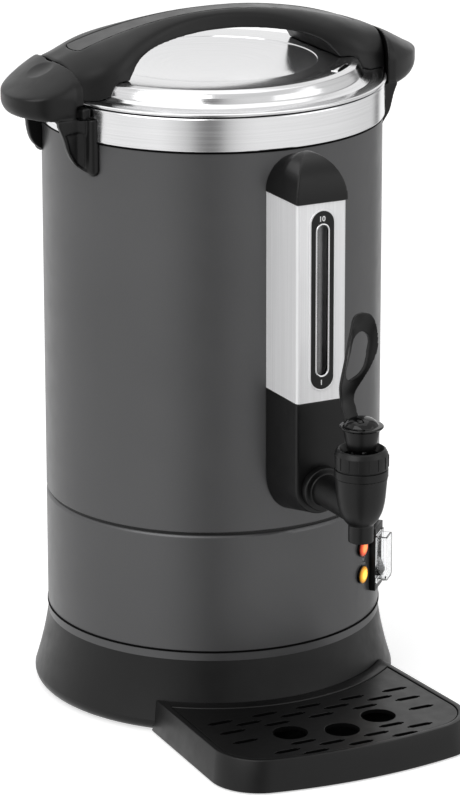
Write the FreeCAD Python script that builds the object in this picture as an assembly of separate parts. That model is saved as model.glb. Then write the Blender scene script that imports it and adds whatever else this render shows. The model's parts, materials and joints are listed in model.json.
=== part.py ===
import FreeCAD, Part
import math
import os

# Double-walled coffee urn with a lever tap, a level gauge, a bayonet lid and a drip tray.
# Lengths are millimetres. Z is up from the table, the tap points along -Y, and the side handles
# lie along X. Everything is laid out about the urn's own axis and moved along Y at the end.

V = FreeCAD.Vector
UP = V(0, 0, 1)
FRONT = V(0, -1, 0)
RIGHT = V(1, 0, 0)

# Clearances
SEAT = 0.05          # between pieces that are fastened together
RUN = 0.05           # radial, round a pin in its hole
GAP = 0.5            # between pieces that move past each other

# Outer body
BODY_R = 120.0
SHEET = 0.8
SKIRT_R = 130.0
SKIRT_TOP = 52.5
SKIRT_BULGE_Z = 9.0
SKIRT_HOLLOW = 1.0
SKIRT_WALL = 3.0
SKIRT_LIFT = 1.5
SPIGOT_H = 6.0
LOWER_TOP = 145.5
SHOULDER_R = 3.0
JOINT_H = 1.6
FLANGE_R = 114.5
JOINT_RIB = 5.0
BAND_BOTTOM = 420.0
BAND_R = 121.5
BAND_TOP = 443.2
BAND_ROLL = 1.6

# Floor of the base
PLATE_Z = 5.8
PLATE_T = 1.2
LEDGE_T = 2.5
LEDGE_W = 9.0
BOSS_R = 5.0
BOSS_H = 22.0
BOSS_AT = 112.0
FOOT_R = 9.0
FOOT_AT = 94.0
FOOT_PEG_R = 2.4
BASE_CORNERS = [45, 135, 225, 315]
VENT_COUNT = 12
VENT_R = 3.0
VENT_AT = 42.0
SCREW_R = 1.6
SCREW_HEAD_R = 3.4
SCREW_HEAD_H = 2.2
SCREW_L = 14.0

# Vessel and heater
VESSEL_R = 111.0
VESSEL_FLOOR = 166.0
VESSEL_CORNER = 8.0
HEATER_R = 88.0
HEATER_T = 5.0
ELEMENT_AT = 68.0
ELEMENT_R = 4.0
ELEMENT_LEG = 22.0
ELEMENT_GAP_DEG = 30
TIE_AT = 30.0
TIE_R = 3.0
TIE_NUT_R = 5.2
TIE_NUT_H = 3.4
THERMOSTAT_AT = 40.0
THERMOSTAT_R = 8.5
THERMOSTAT_H = 12.0

# Manual cut-out with its reset button
RESET_X = -35.0
RESET_Y = 62.0
RESET_R = 4.0
RESET_TRAVEL = 1.5
RESET_PROUD = 2.0
CUTOUT_R = 10.0
CUTOUT_H = 16.0

# Terminal block and cord gland
TERMINAL_X = 45.0
TERMINAL_Y = 50.0
TERMINAL_L = 36.0
TERMINAL_W = 16.0
TERMINAL_H = 14.0
GLAND_Z = 76.0
GLAND_R = 8.0
GLAND_FLANGE_R = 11.0
GLAND_FLANGE_T = 3.0
GLAND_BORE_R = 3.6
GLAND_L = 15.0

# Lamps and switch, by their angle from the tap's side towards +X
LAMP_DEG = 35.0
LAMP_Z = 104.2
LAMP_PITCH = 20.3
LAMP_R = 6.75
LAMP_PROUD = 1.6
LENS_R = 5.0
LENS_DOME = 1.6
LAMP_BODY_R = 4.6
LAMP_BODY_L = 20.0
SWITCH_DEG = 47.0
SWITCH_Z = 100.5
SWITCH_W = 22.0
SWITCH_H = 47.0
SWITCH_T = 4.0
SWITCH_BODY_W = 18.0
SWITCH_BODY_H = 34.0
SWITCH_BODY_L = 20.0
WINDOW_W = 15.6
WINDOW_H = 30.6
WINDOW_DEPTH = 11.0
ROCKER_TILT = 18.0
ROCKER_RISE = 5.5
ROCKER_MARGIN = 2.7
PIVOT_DEPTH = 0.5
PIVOT_R = 2.0
COVER_W = 17.0
COVER_H = 33.0
COVER_PROUD = 7.5
COVER_WALL = 1.2
COVER_FOOT = 1.0
COVER_CORNER = 2.5

# Front column
COLUMN_Y = -164.0
COLUMN_W = 37.4
COLUMN_CORNER = 2.5
COLUMN_LIP = 0.7
COLUMN_WALL = 2.0
STEEL_BOTTOM = 251.5
STEEL_TOP = 391.0
COLUMN_SHEET = 1.2
COVER_PROUD_BY = 1.0
CAP_RISE = 31.0
CAP_CREST_Y = -140.0
CAP_BACK_DROP = 7.5
LOWER_PROUD_BY = 0.5
LOWER_CENTRE = 190.0
LOWER_FRONT_DROP = 19.0
LOWER_BACK_DROP = 29.0
TONGUE_LAP = 4.0
CAP_SCREW_Z = 402.0
CAP_SCREW_L = 12.0
BEZEL_W = 17.0
BEZEL_H = 125.0
BEZEL_Z = 323.0
BEZEL_PROUD = 1.0
BEZEL_T = 4.0
TRIM_W = 10.6
TRIM_H = 108.0
TRIM_RIM = 0.8
TRIM_PROUD = 0.4
TUBE_R = 4.0
TUBE_BORE_R = 2.6
TUBE_Y = -156.5
TUBE_BOTTOM = 246.0
TUBE_TOP = 395.0
PLUG_R = 5.0
PLUG_BITE = 8.0
PLUG_CAP = 1.5
RISER_BITE = 3.5
RISER_NUT_R = 5.2
RISER_NUT_H = 4.0

# Tap
TAP_Y = -221.0
TAP_Z = 189.7
SPOUT_R = 8.6
SPOUT_BORE_R = 6.2
SPOUT_BORE_L = 12.0
SPOUT_THROAT_R = 5.6
SPOUT_BOTTOM = 168.2
SPOUT_TOP = 180.5
BOWL_LOW_R = 12.9
BOWL_MID_R = 16.2
TAP_SEAT_Z = 186.0
CHAMBER_R = 9.5
CHAMBER_TOP = 199.0
BARREL_R = 18.1
BARREL_BORE_R = 12.3
BARREL_TOP = 214.6
NECK_R = 14.4
NECK_TOP = 221.5
SHANK_R = 11.0
SHANK_THREAD_R = 9.8
SHANK_BORE_R = 4.8
SHANK_BORE_RISE = 1.5
SHANK_END = -97.0
TAP_FLANGE_R = 15.5
TAP_FLANGE_T = 6.4
COLLAR_R = 18.8
COLLAR_TOP = 234.5
COLLAR_OPENING_R = 12.3
COLLAR_MOUTH_R = 15.4
COLLAR_MOUTH_DROP = 5.0
COLLAR_RIBS = 16
COLLAR_RIB_R = 1.0
COLLAR_WEB_T = 2.4
CUP_R = 8.9
CUP_H = 4.5
PISTON_LOW = 201.0
PISTON_H = 4.0
STEM_R = 2.4
SPRING_TURNS = 4
SPRING_WIRE = 0.9
SPRING_R = 8.0
LEVER_PIVOT_Z = 231.0
LEVER_HEEL = 6.7
LEVER_CHEEK_X = 7.2
LEVER_SLOT_W = 6.0
STEM_EYE_R = 3.4
STEM_EYE_W = 5.2
PIN_R = 1.5
HUB_R_LOW = 9.9
HUB_R_TOP = 12.6
HUB_BOTTOM = 234.0
HUB_TOP = 248.2
KNOB_R = 15.0
KNOB_RISE = 8.0
KNOB_FLAT = 11.8
LEVER_T = 3.2
LEVER_TOP = 329.0
LOOP_HALF_W = 11.4
LOOP_NECK_HALF = 5.0
LOOP_CUP_R = 15.0
LOOP_HOLE_HALF = 6.6
LOOP_HOLE_BOTTOM = 276.5
LOOP_HOLE_TOP = 315.5
# The lever's middle line: height above the pivot and distance behind the tap's axis
LEVER_LINE = [(11.0, 8.0), (18.0, 14.6), (25.0, 18.6), (33.0, 21.6), (41.0, 20.0), (50.0, 15.6),
              (62.0, 9.8), (72.0, 6.0), (86.0, 2.2), (99.0, 2.6)]
NUT_FLATS = 27.0
NUT_H = 8.0
WASHER_R = 15.0
WASHER_T = 3.0

# Lid
LID_GAP = 0.7
LID_HEM = 2.4
LID_R = 122.4
LID_SHEET = 1.0
LID_WALL_R = 110.0
LID_TOP_R = 104.6
LID_RISE = 13.7
LID_ROUND = 8.0
DISH_R = 74.0
DISH_FLAT_R = 8.0
DISH_STEP = 0.9
DISH_DEPTH = 5.6
VENT_SLOT_AT = 95.0
VENT_SLOT_DEG = -46.0
VENT_SLOT_L = 24.0
VENT_SLOT_W = 2.4
SEAL_IN_R = 109.3
SEAL_OUT_R = 119.0
SEAL_LIP = 6.0
SEAL_LIP_T = 1.2
SEAL_AIR = 0.3

# Lid handle: an arch over the lid, narrow in the middle and crowned across
FINGER_ROOM = 23.7
ARCH_DEPTH = 12.9
ARCH_R = 334.0
LEG_R = 124.0
LEG_IN = 82.0
LEG_SKIRT_BOTTOM = 436.5
ARCH_HALF_MID = 15.0
ARCH_HALF_WAIST = 19.0
ARCH_HALF_SHOULDER = 27.0
ARCH_HALF_LEG = 35.5
DRAFT = 0.2
CROWN_DROP_MID = 5.0
CROWN_DROP_LEG = 21.0
INSERT_END = 109.0
INSERT_END_BOW = 2.5
INSERT_HALF_MID = 6.5
INSERT_HALF_END = 10.8
INSERT_DEPTH = 2.0
INSERT_SUNK = 0.3
INSERT_AIR = 0.4
TAB_H = 7.0
TAB_REACH = 5.6
TAB_FROM_DEG = 13.5
TAB_TO_DEG = 21.0
LID_SCREW_AT = 90.0
LID_SCREW_Y = 16.0
LID_SCREW_L = 12.0

# Side handles. The grip's plan leans towards the side that has the pocket.
SEAM = 1.4
GRIP_END = 163.5
GRIP_TURN = 124.0
GRIP_FOOT_X = 100.0
GRIP_HALF = 42.0
GRIP_LEAN = 14.0
GRIP_FALL = 0.42
GRIP_FLAT = 0.25
GRIP_SHOULDER_Z = 451.0
GRIP_SOLE_Z = 432.5
GRIP_SOLE_RISE = 0.12
GRIP_TOE_IN = 7.0
GRIP_TOE_H = 9.0
GRIP_WALL = 4.0
PLATE_PROUD = 1.0
PLATE_WALL = 5.3
PANEL_DEEP = 1.2
PANEL_EDGE = 2.0
SEAT_STEP_Z = 435.5
CHEEK_Z = 428.5
# The edge of each kind of plate, from the sole down to the body (x, z)
DEEP_EDGE = [(139.0, 432.5), (136.6, 427.0), (134.4, 421.0), (133.0, 416.0), (131.5, 412.4), (126.4, 404.8),
             (122.6, 401.6), (118.9, 399.0)]
SHALLOW_EDGE = [(125.8, 434.5), (122.8, 428.5), (120.9, 421.1), (118.8, 415.0), (115.1, 409.6),
                (113.0, 405.8)]
FAR_EDGE = [(126.2, 434.5), (125.9, 427.0), (125.4, 420.0), (124.6, 414.0), (121.4, 403.6), (118.0, 399.5),
            (115.0, 397.5)]
PLATE_TAIL = 4.9
RIB_R = 5.4
RIB_DEG = 20.8
RIB_BOTTOM = 395.0
HANDLE_SCREW_DEG = 19.4
HANDLE_SCREW_Z = 415.0
HANDLE_SCREW_R = 1.6
HANDLE_SCREW_BITE = 3.6
THUMB_X = 137.0
THUMB_Y = 8.0
THUMB_R = 40.0
THUMB_DEPTH = 1.6

# Drip tray
TRAY_FRONT = 237.0
TRAY_HALF = 99.5
TRAY_REAR_HALF = 94.0
TRAY_TOP = 23.4
TRAY_BOTTOM = 1.0
TRAY_DRAFT = 4.0
TRAY_CORNER = 36.0
TRAY_BOW_R = 340.0
TRAY_WALL = 2.5
TRAY_FLOOR = 2.5
TRAY_RIM = 4.6
TRAY_BACK_RIM = 6.5
TRAY_BACK_Y = -84.0
GRILLE_T = 3.0
GRILLE_SUNK = 0.5
GRILLE_AIR = 0.5
LEDGE_IN = 3.5
SLOT_L = 19.6
SLOT_W = 2.0
SLOT_PITCH_X = 17.3
SLOT_PITCH_Y = 9.6
SLOT_FIRST_Y = -147.0
SLOT_ROWS = 9
CUP_HOLE_R = 12.2
CUP_HOLE_X = 34.6
CUP_HOLE_Y = -185.5
CUP_HOLE_MID_Y = -196.8
TONGUE_X = 55.0
TONGUE_W = 24.0
TONGUE_T = 3.0
TONGUE_Z = 11.5
TONGUE_REACH = 8.0

# Heights that follow from the sizes above
UPPER_BOTTOM = LOWER_TOP + JOINT_H
RIM_Z = BAND_TOP - 2 * SHEET
VESSEL_OUT_R = VESSEL_R + SHEET
LID_Z = BAND_TOP + LID_GAP
FLANGE_TOP = LID_Z + LID_HEM
LID_TOP = LID_Z + LID_RISE
LEDGE_Z = PLATE_Z + PLATE_T
ARCH_UNDER = LID_TOP + FINGER_ROOM
ARCH_TOP = ARCH_UNDER + ARCH_DEPTH
HANDLE_IN_R = LEG_R + SEAM
GLAND_REACH = BODY_R + GLAND_FLANGE_T
AXIS_Y = (TRAY_FRONT - SKIRT_R) / 2

pieces = {}


def rz(r, z):
    return V(r, 0, z)


def xz(x, z):
    return V(x, 0, z)


def yz(y, z):
    return V(0, y, z)


def xy(x, y):
    return V(x, y, 0)


def face(path, place):
    """A flat face. A pair in the path is a corner, a tuple of pairs an arc's middle and end,
    and a list of pairs a smooth curve through them."""
    edges = []
    here = path[0]
    for step in path[1:] + [path[0]]:
        if isinstance(step, list):
            curve = Part.BSplineCurve()
            curve.interpolate([place(*here)] + [place(*point) for point in step])
            edges.append(curve.toShape())
            here = step[-1]
        elif isinstance(step[0], tuple):
            middle, end = step
            edges.append(Part.Arc(place(*here), place(*middle), place(*end)).toShape())
            here = end
        elif place(*here).distanceToPoint(place(*step)) > 1e-6:
            edges.append(Part.LineSegment(place(*here), place(*step)).toShape())
            here = step
    return Part.Face(Part.Wire(edges))


def spin(path):
    """A ring or disc from its outline in radius and height."""
    return face(path, rz).revolve(V(), UP, 360)


def disc(radius, low, high, x=0.0, y=0.0):
    return Part.makeCylinder(radius, high - low, V(x, y, low))


def ring(outer, inner, low, high):
    return disc(outer, low, high).cut(disc(inner, low - 1, high + 1))


def rod_y(radius, near, far, x=0.0, z=0.0):
    """A round bar along Y, from y = near back to y = far."""
    return Part.makeCylinder(radius, far - near, V(x, near, z), V(0, 1, 0))


def rod_x(radius, left, right, y=0.0, z=0.0):
    return Part.makeCylinder(radius, right - left, V(left, y, z), RIGHT)


def block(x, y, z):
    """A box from its (low, high) pairs."""
    return Part.makeBox(x[1] - x[0], y[1] - y[0], z[1] - z[0], V(x[0], y[0], z[0]))


def turned(shape, degrees):
    """A copy turned about the urn's axis, from the tap's side towards +X."""
    copy = shape.copy()
    copy.rotate(V(), UP, degrees)
    return copy


def moved(shape, x=0.0, y=0.0, z=0.0):
    copy = shape.copy()
    copy.translate(V(x, y, z))
    return copy


def joined(shapes):
    whole = shapes[0]
    for shape in shapes[1:]:
        whole = whole.fuse(shape)
    return whole


def racetrack(width, height, low, high, z):
    """A slot with round ends, standing in the XZ plane, from y = low to y = high."""
    r = width / 2
    straight = (height - width) / 2
    path = [(-r, z - straight), ((0, z - straight - r), (r, z - straight)),
            (r, z + straight), ((0, z + straight + r), (-r, z + straight))]
    return moved(face(path, xz).extrude(V(0, high - low, 0)), y=low)


def corner_spots(radius, angles):
    return [(radius * math.cos(math.radians(a)), radius * math.sin(math.radians(a))) for a in angles]


# Base skirt: a flared ring with a shelf for the floor plate and four screw bosses
def skirt_side(out):
    """Low end, middle and top of the skirt's flared side, moved outwards by out."""
    low = (SKIRT_R + out, SKIRT_BULGE_Z)
    top = (BODY_R + out, SKIRT_TOP)
    middle = ((low[0] + top[0]) / 2 - SKIRT_HOLLOW, (low[1] + top[1]) / 2)
    return low, middle, top


def make_base():
    low, middle, top = skirt_side(0)
    in_low, in_middle, in_top = skirt_side(-SKIRT_WALL)
    spigot = BODY_R - SHEET - SEAT
    shelf = (SKIRT_R - SKIRT_WALL - LEDGE_W)
    toe = SKIRT_R - 4
    path = [(toe, SKIRT_LIFT), ((SKIRT_R - 1, SKIRT_LIFT + 2.6), low), (middle, top),
            (spigot, SKIRT_TOP), (spigot, SKIRT_TOP + SPIGOT_H),
            (spigot - SKIRT_WALL, SKIRT_TOP + SPIGOT_H), (spigot - SKIRT_WALL, SKIRT_TOP - SKIRT_WALL),
            (in_top[0], SKIRT_TOP - SKIRT_WALL), (in_middle, (in_low[0], LEDGE_Z + LEDGE_T)),
            (shelf, LEDGE_Z + LEDGE_T), (shelf, LEDGE_Z), (in_low[0] - 0.4, LEDGE_Z),
            (toe - SKIRT_WALL, SKIRT_LIFT)]
    skirt = spin(path)
    for x, y in corner_spots(BOSS_AT, BASE_CORNERS):
        boss = disc(BOSS_R, LEDGE_Z, LEDGE_Z + BOSS_H, x, y)
        hole = disc(SCREW_R + SEAT, LEDGE_Z - 1, LEDGE_Z + SCREW_L + 1, x, y)
        rib = block((BOSS_AT, SKIRT_R - 4.5), (-1.5, 1.5), (LEDGE_Z, LEDGE_Z + BOSS_H * 0.6))
        rib = turned(rib, math.degrees(math.atan2(y, x)))
        skirt = skirt.fuse(rib).fuse(boss).cut(hole)
    for side in (-1, 1):
        slot_x = (side * TONGUE_X - TONGUE_W / 2 - GAP, side * TONGUE_X + TONGUE_W / 2 + GAP)
        slot = block(slot_x, (-SKIRT_R - 1, -SKIRT_R + 24), (TONGUE_Z - GAP, TONGUE_Z + TONGUE_T + GAP))
        skirt = skirt.cut(slot.cut(disc(SKIRT_R - SKIRT_WALL - LEDGE_W, 0, SKIRT_TOP)))
    pieces["base_skirt"] = skirt

    plate_r = toe - SKIRT_WALL - GAP
    plate = disc(plate_r, PLATE_Z, LEDGE_Z)
    for x, y in corner_spots(BOSS_AT, BASE_CORNERS):
        plate = plate.cut(disc(SCREW_R + 0.3, 0, LEDGE_Z + 1, x, y))
    for x, y in corner_spots(FOOT_AT, BASE_CORNERS):
        plate = plate.cut(disc(FOOT_PEG_R + SEAT, 0, LEDGE_Z + 1, x, y))
    for x, y in corner_spots(VENT_AT, [i * 360 / VENT_COUNT for i in range(VENT_COUNT)]):
        plate = plate.cut(disc(VENT_R, 0, LEDGE_Z + 1, x, y))
    for side in (-1, 1):
        plate = plate.cut(disc(TIE_R + 0.2, 0, LEDGE_Z + 1, side * TIE_AT, 0))
    plate = plate.cut(disc(RESET_R + GAP, 0, LEDGE_Z + 1, RESET_X, RESET_Y))
    pieces["bottom_plate"] = plate

    foot = spin([(0, 0), (FOOT_R - 1, 0), (FOOT_R, 1), (FOOT_R, PLATE_Z), (FOOT_PEG_R, PLATE_Z),
                 (FOOT_PEG_R, LEDGE_Z), (FOOT_PEG_R + 1.2, LEDGE_Z), (FOOT_PEG_R, LEDGE_Z + 3),
                 (0, LEDGE_Z + 3)])
    pieces["rubber_feet"] = Part.makeCompound(
        [moved(foot, x, y) for x, y in corner_spots(FOOT_AT, BASE_CORNERS)])
    screw = spin([(0, PLATE_Z - SCREW_HEAD_H), (SCREW_HEAD_R - 1, PLATE_Z - SCREW_HEAD_H),
                  (SCREW_HEAD_R, PLATE_Z - 1), (SCREW_HEAD_R, PLATE_Z), (SCREW_R, PLATE_Z),
                  (SCREW_R, LEDGE_Z + SCREW_L), (0, LEDGE_Z + SCREW_L)])
    pieces["base_screws"] = Part.makeCompound(
        [moved(screw, x, y) for x, y in corner_spots(BOSS_AT, BASE_CORNERS)])


# Painted shells, the ring between them and the bright band
def make_shells():
    inner = BODY_R - SHEET
    bend = SHOULDER_R * (1 - math.sqrt(0.5))
    in_bend = (SHOULDER_R - SHEET) * (1 - math.sqrt(0.5))
    lower = spin([(inner, SKIRT_TOP), (BODY_R, SKIRT_TOP), (BODY_R, LOWER_TOP - SHOULDER_R),
                  ((BODY_R - bend, LOWER_TOP - bend), (BODY_R - SHOULDER_R, LOWER_TOP)),
                  (FLANGE_R, LOWER_TOP), (FLANGE_R, LOWER_TOP - SHEET),
                  (BODY_R - SHOULDER_R, LOWER_TOP - SHEET),
                  ((inner - in_bend, LOWER_TOP - SHEET - in_bend), (inner, LOWER_TOP - SHOULDER_R))])
    for side in (-1, 1):
        hole = rod_y(LAMP_BODY_R + SEAT, -BODY_R - 2, -BODY_R + 4, z=LAMP_Z + side * LAMP_PITCH / 2)
        lower = lower.cut(turned(hole, LAMP_DEG))
    window = block((-SWITCH_BODY_W / 2 - SEAT, SWITCH_BODY_W / 2 + SEAT), (-BODY_R - 2, -BODY_R + 6),
                   (SWITCH_Z - SWITCH_BODY_H / 2 - SEAT, SWITCH_Z + SWITCH_BODY_H / 2 + SEAT))
    lower = lower.cut(turned(window, SWITCH_DEG))
    lower = lower.cut(rod_y(GLAND_R + SEAT, BODY_R - 4, BODY_R + 2, z=GLAND_Z))
    pieces["lower_shell"] = lower

    bottom = UPPER_BOTTOM
    upper = spin([(FLANGE_R, bottom), (BODY_R - 1.2, bottom),
                  ((BODY_R - 0.35, bottom + 0.35), (BODY_R, bottom + 1.2)),
                  (BODY_R, RIM_Z), (inner, RIM_Z), (inner, bottom + SHEET), (FLANGE_R, bottom + SHEET)])
    upper = upper.cut(rod_y(SHANK_THREAD_R + 0.3, -BODY_R - 2, -BODY_R + 6, z=TAP_Z))
    hole = rod_x(HANDLE_SCREW_R + 0.2, BODY_R - 9, BODY_R + 2, 0, HANDLE_SCREW_Z)
    for angle in handle_screw_angles():
        upper = upper.cut(turned(hole, angle))
    pieces["upper_shell"] = upper

    pieces["joint_ring"] = spin([
        (FLANGE_R - 2.4, LOWER_TOP - JOINT_RIB), (FLANGE_R - SEAT, LOWER_TOP - JOINT_RIB),
        (FLANGE_R - SEAT, LOWER_TOP), (BODY_R - 1.6, LOWER_TOP), (BODY_R - 1.6, UPPER_BOTTOM),
        (FLANGE_R - SEAT, UPPER_BOTTOM), (FLANGE_R - SEAT, UPPER_BOTTOM + JOINT_RIB),
        (FLANGE_R - 2.4, UPPER_BOTTOM + JOINT_RIB)])
    roll = BAND_ROLL * (1 - math.sqrt(0.5))
    pieces["top_band"] = spin([
        (BAND_R - SHEET, BAND_BOTTOM), (BAND_R, BAND_BOTTOM), (BAND_R, BAND_TOP - BAND_ROLL),
        ((BAND_R - roll, BAND_TOP - roll), (BAND_R - BAND_ROLL, BAND_TOP)), (VESSEL_R, BAND_TOP),
        (VESSEL_R, BAND_TOP - SHEET), (BAND_R - SHEET, BAND_TOP - SHEET)])


# Vessel, heater and what is bolted under it
def make_vessel():
    low = VESSEL_FLOOR - SHEET
    out = VESSEL_OUT_R
    bend = VESSEL_CORNER * (1 - math.sqrt(0.5))
    small = VESSEL_CORNER - SHEET
    in_bend = small * (1 - math.sqrt(0.5))
    corner = ((out - bend, low + bend), (out, low + VESSEL_CORNER))
    vessel = spin([(0, low), (out - VESSEL_CORNER, low), corner,
                   (out, RIM_Z), (BODY_R, RIM_Z), (BODY_R, RIM_Z + SHEET), (VESSEL_R, RIM_Z + SHEET),
                   (VESSEL_R, VESSEL_FLOOR + small),
                   ((VESSEL_R - in_bend, VESSEL_FLOOR + in_bend), (VESSEL_R - small, VESSEL_FLOOR)),
                   (0, VESSEL_FLOOR)])
    vessel = vessel.cut(rod_y(SHANK_THREAD_R + 0.2, -VESSEL_OUT_R - 1, -VESSEL_R + 8, z=TAP_Z))
    pieces["inner_vessel"] = vessel

    heater_low = low - HEATER_T
    plate = disc(HEATER_R, heater_low, low)
    for side in (-1, 1):
        plate = plate.cut(disc(TIE_R + SEAT, heater_low - 1, low + 1, side * TIE_AT, 0))
    pieces["heater_plate"] = plate
    element_z = heater_low - ELEMENT_R
    element = Part.makeTorus(ELEMENT_AT, ELEMENT_R, V(0, 0, element_z), UP, -180, 180, 360 - ELEMENT_GAP_DEG)
    ends = [(ELEMENT_AT, 0.0), (ELEMENT_AT * math.cos(math.radians(ELEMENT_GAP_DEG)),
                                -ELEMENT_AT * math.sin(math.radians(ELEMENT_GAP_DEG)))]
    for x, y in ends:
        element = element.fuse(Part.makeSphere(ELEMENT_R, V(x, y, element_z)))
        element = element.fuse(disc(ELEMENT_R * 0.75, element_z - ELEMENT_LEG, element_z, x, y))
    pieces["heating_element"] = element

    ties, nuts = [], []
    for side in (-1, 1):
        ties.append(disc(TIE_R, PLATE_Z - TIE_NUT_H - 0.6, low, side * TIE_AT, 0))
        hexagon = prism_hex(TIE_NUT_R, PLATE_Z - TIE_NUT_H, PLATE_Z)
        nuts.append(moved(hexagon.cut(disc(TIE_R + SEAT, 0, PLATE_Z + 1)), x=side * TIE_AT))
    pieces["tie_rods"] = Part.makeCompound(ties)
    pieces["tie_nuts"] = Part.makeCompound(nuts)

    thermostat = disc(THERMOSTAT_R, heater_low - THERMOSTAT_H * 0.35, heater_low)
    thermostat = thermostat.fuse(disc(THERMOSTAT_R * 0.8, heater_low - THERMOSTAT_H, heater_low - 1))
    for side in (-1, 1):
        blade = block((side * 3.5 - 0.4, side * 3.5 + 0.4), (-2.4, 2.4),
                      (heater_low - THERMOSTAT_H - 7, heater_low - THERMOSTAT_H + 1))
        thermostat = thermostat.fuse(blade)
    pieces["thermostats"] = Part.makeCompound(
        [moved(thermostat, y=-THERMOSTAT_AT), moved(thermostat, y=THERMOSTAT_AT)])

    button_low = LEDGE_Z - PLATE_T - RESET_PROUD
    button_top = LEDGE_Z + 6
    body_low = LEDGE_Z
    body = disc(CUTOUT_R, body_low, body_low + CUTOUT_H, RESET_X, RESET_Y)
    body = body.cut(disc(RESET_R + GAP, body_low - 1, body_low + 2, RESET_X, RESET_Y))
    pocket_top = button_top + RESET_TRAVEL + GAP
    body = body.cut(disc(RESET_R + 1.6 + GAP, body_low + 2, pocket_top, RESET_X, RESET_Y))
    for side in (-1, 1):
        blade = block((RESET_X + side * 4 - 0.4, RESET_X + side * 4 + 0.4), (RESET_Y - 3, RESET_Y + 3),
                      (body_low + CUTOUT_H - 1, body_low + CUTOUT_H + 7))
        body = body.fuse(blade)
    pieces["thermal_cutout"] = body
    button = disc(RESET_R, button_low, button_top, RESET_X, RESET_Y)
    pieces["reset_button"] = button.fuse(
        disc(RESET_R + 1.6, body_low + 2 + GAP, button_top, RESET_X, RESET_Y))

    x0, x1 = TERMINAL_X - TERMINAL_L / 2, TERMINAL_X + TERMINAL_L / 2
    terminal = block((x0, x1), (TERMINAL_Y - TERMINAL_W / 2, TERMINAL_Y + TERMINAL_W / 2),
                     (LEDGE_Z, LEDGE_Z + TERMINAL_H))
    for i in range(3):
        x = x0 + TERMINAL_L * (i + 0.5) / 3
        terminal = terminal.cut(disc(2.6, LEDGE_Z + 6, LEDGE_Z + TERMINAL_H + 1, x, TERMINAL_Y))
        terminal = terminal.cut(rod_y(2.0, TERMINAL_Y - TERMINAL_W, TERMINAL_Y + TERMINAL_W, x, LEDGE_Z + 5))
    pieces["terminal_block"] = terminal

    gland = rod_y(GLAND_R, BODY_R - GLAND_L + GLAND_FLANGE_T, BODY_R + 1, z=GLAND_Z)
    gland = gland.fuse(rod_y(GLAND_FLANGE_R, BODY_R - 2, BODY_R + GLAND_FLANGE_T, z=GLAND_Z))
    flange_side = ring(BODY_R + 20, BODY_R + SEAT, 0, LOWER_TOP)
    shank_only = rod_y(GLAND_R, BODY_R - GLAND_L, BODY_R + 1, z=GLAND_Z)
    gland = gland.common(flange_side.fuse(shank_only))
    pieces["cord_gland"] = gland.cut(rod_y(GLAND_BORE_R, 0, BODY_R + 20, z=GLAND_Z))


def prism_hex(flat_r, low, high):
    """A hexagonal nut's outer shape standing on Z, flat_r from its axis to each flat."""
    reach = flat_r / math.cos(math.pi / 6)
    corners = [(reach * math.cos(math.pi / 3 * i), reach * math.sin(math.pi / 3 * i)) for i in range(6)]
    return moved(face(corners, xy).extrude(V(0, 0, high - low)), z=low)


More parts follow.
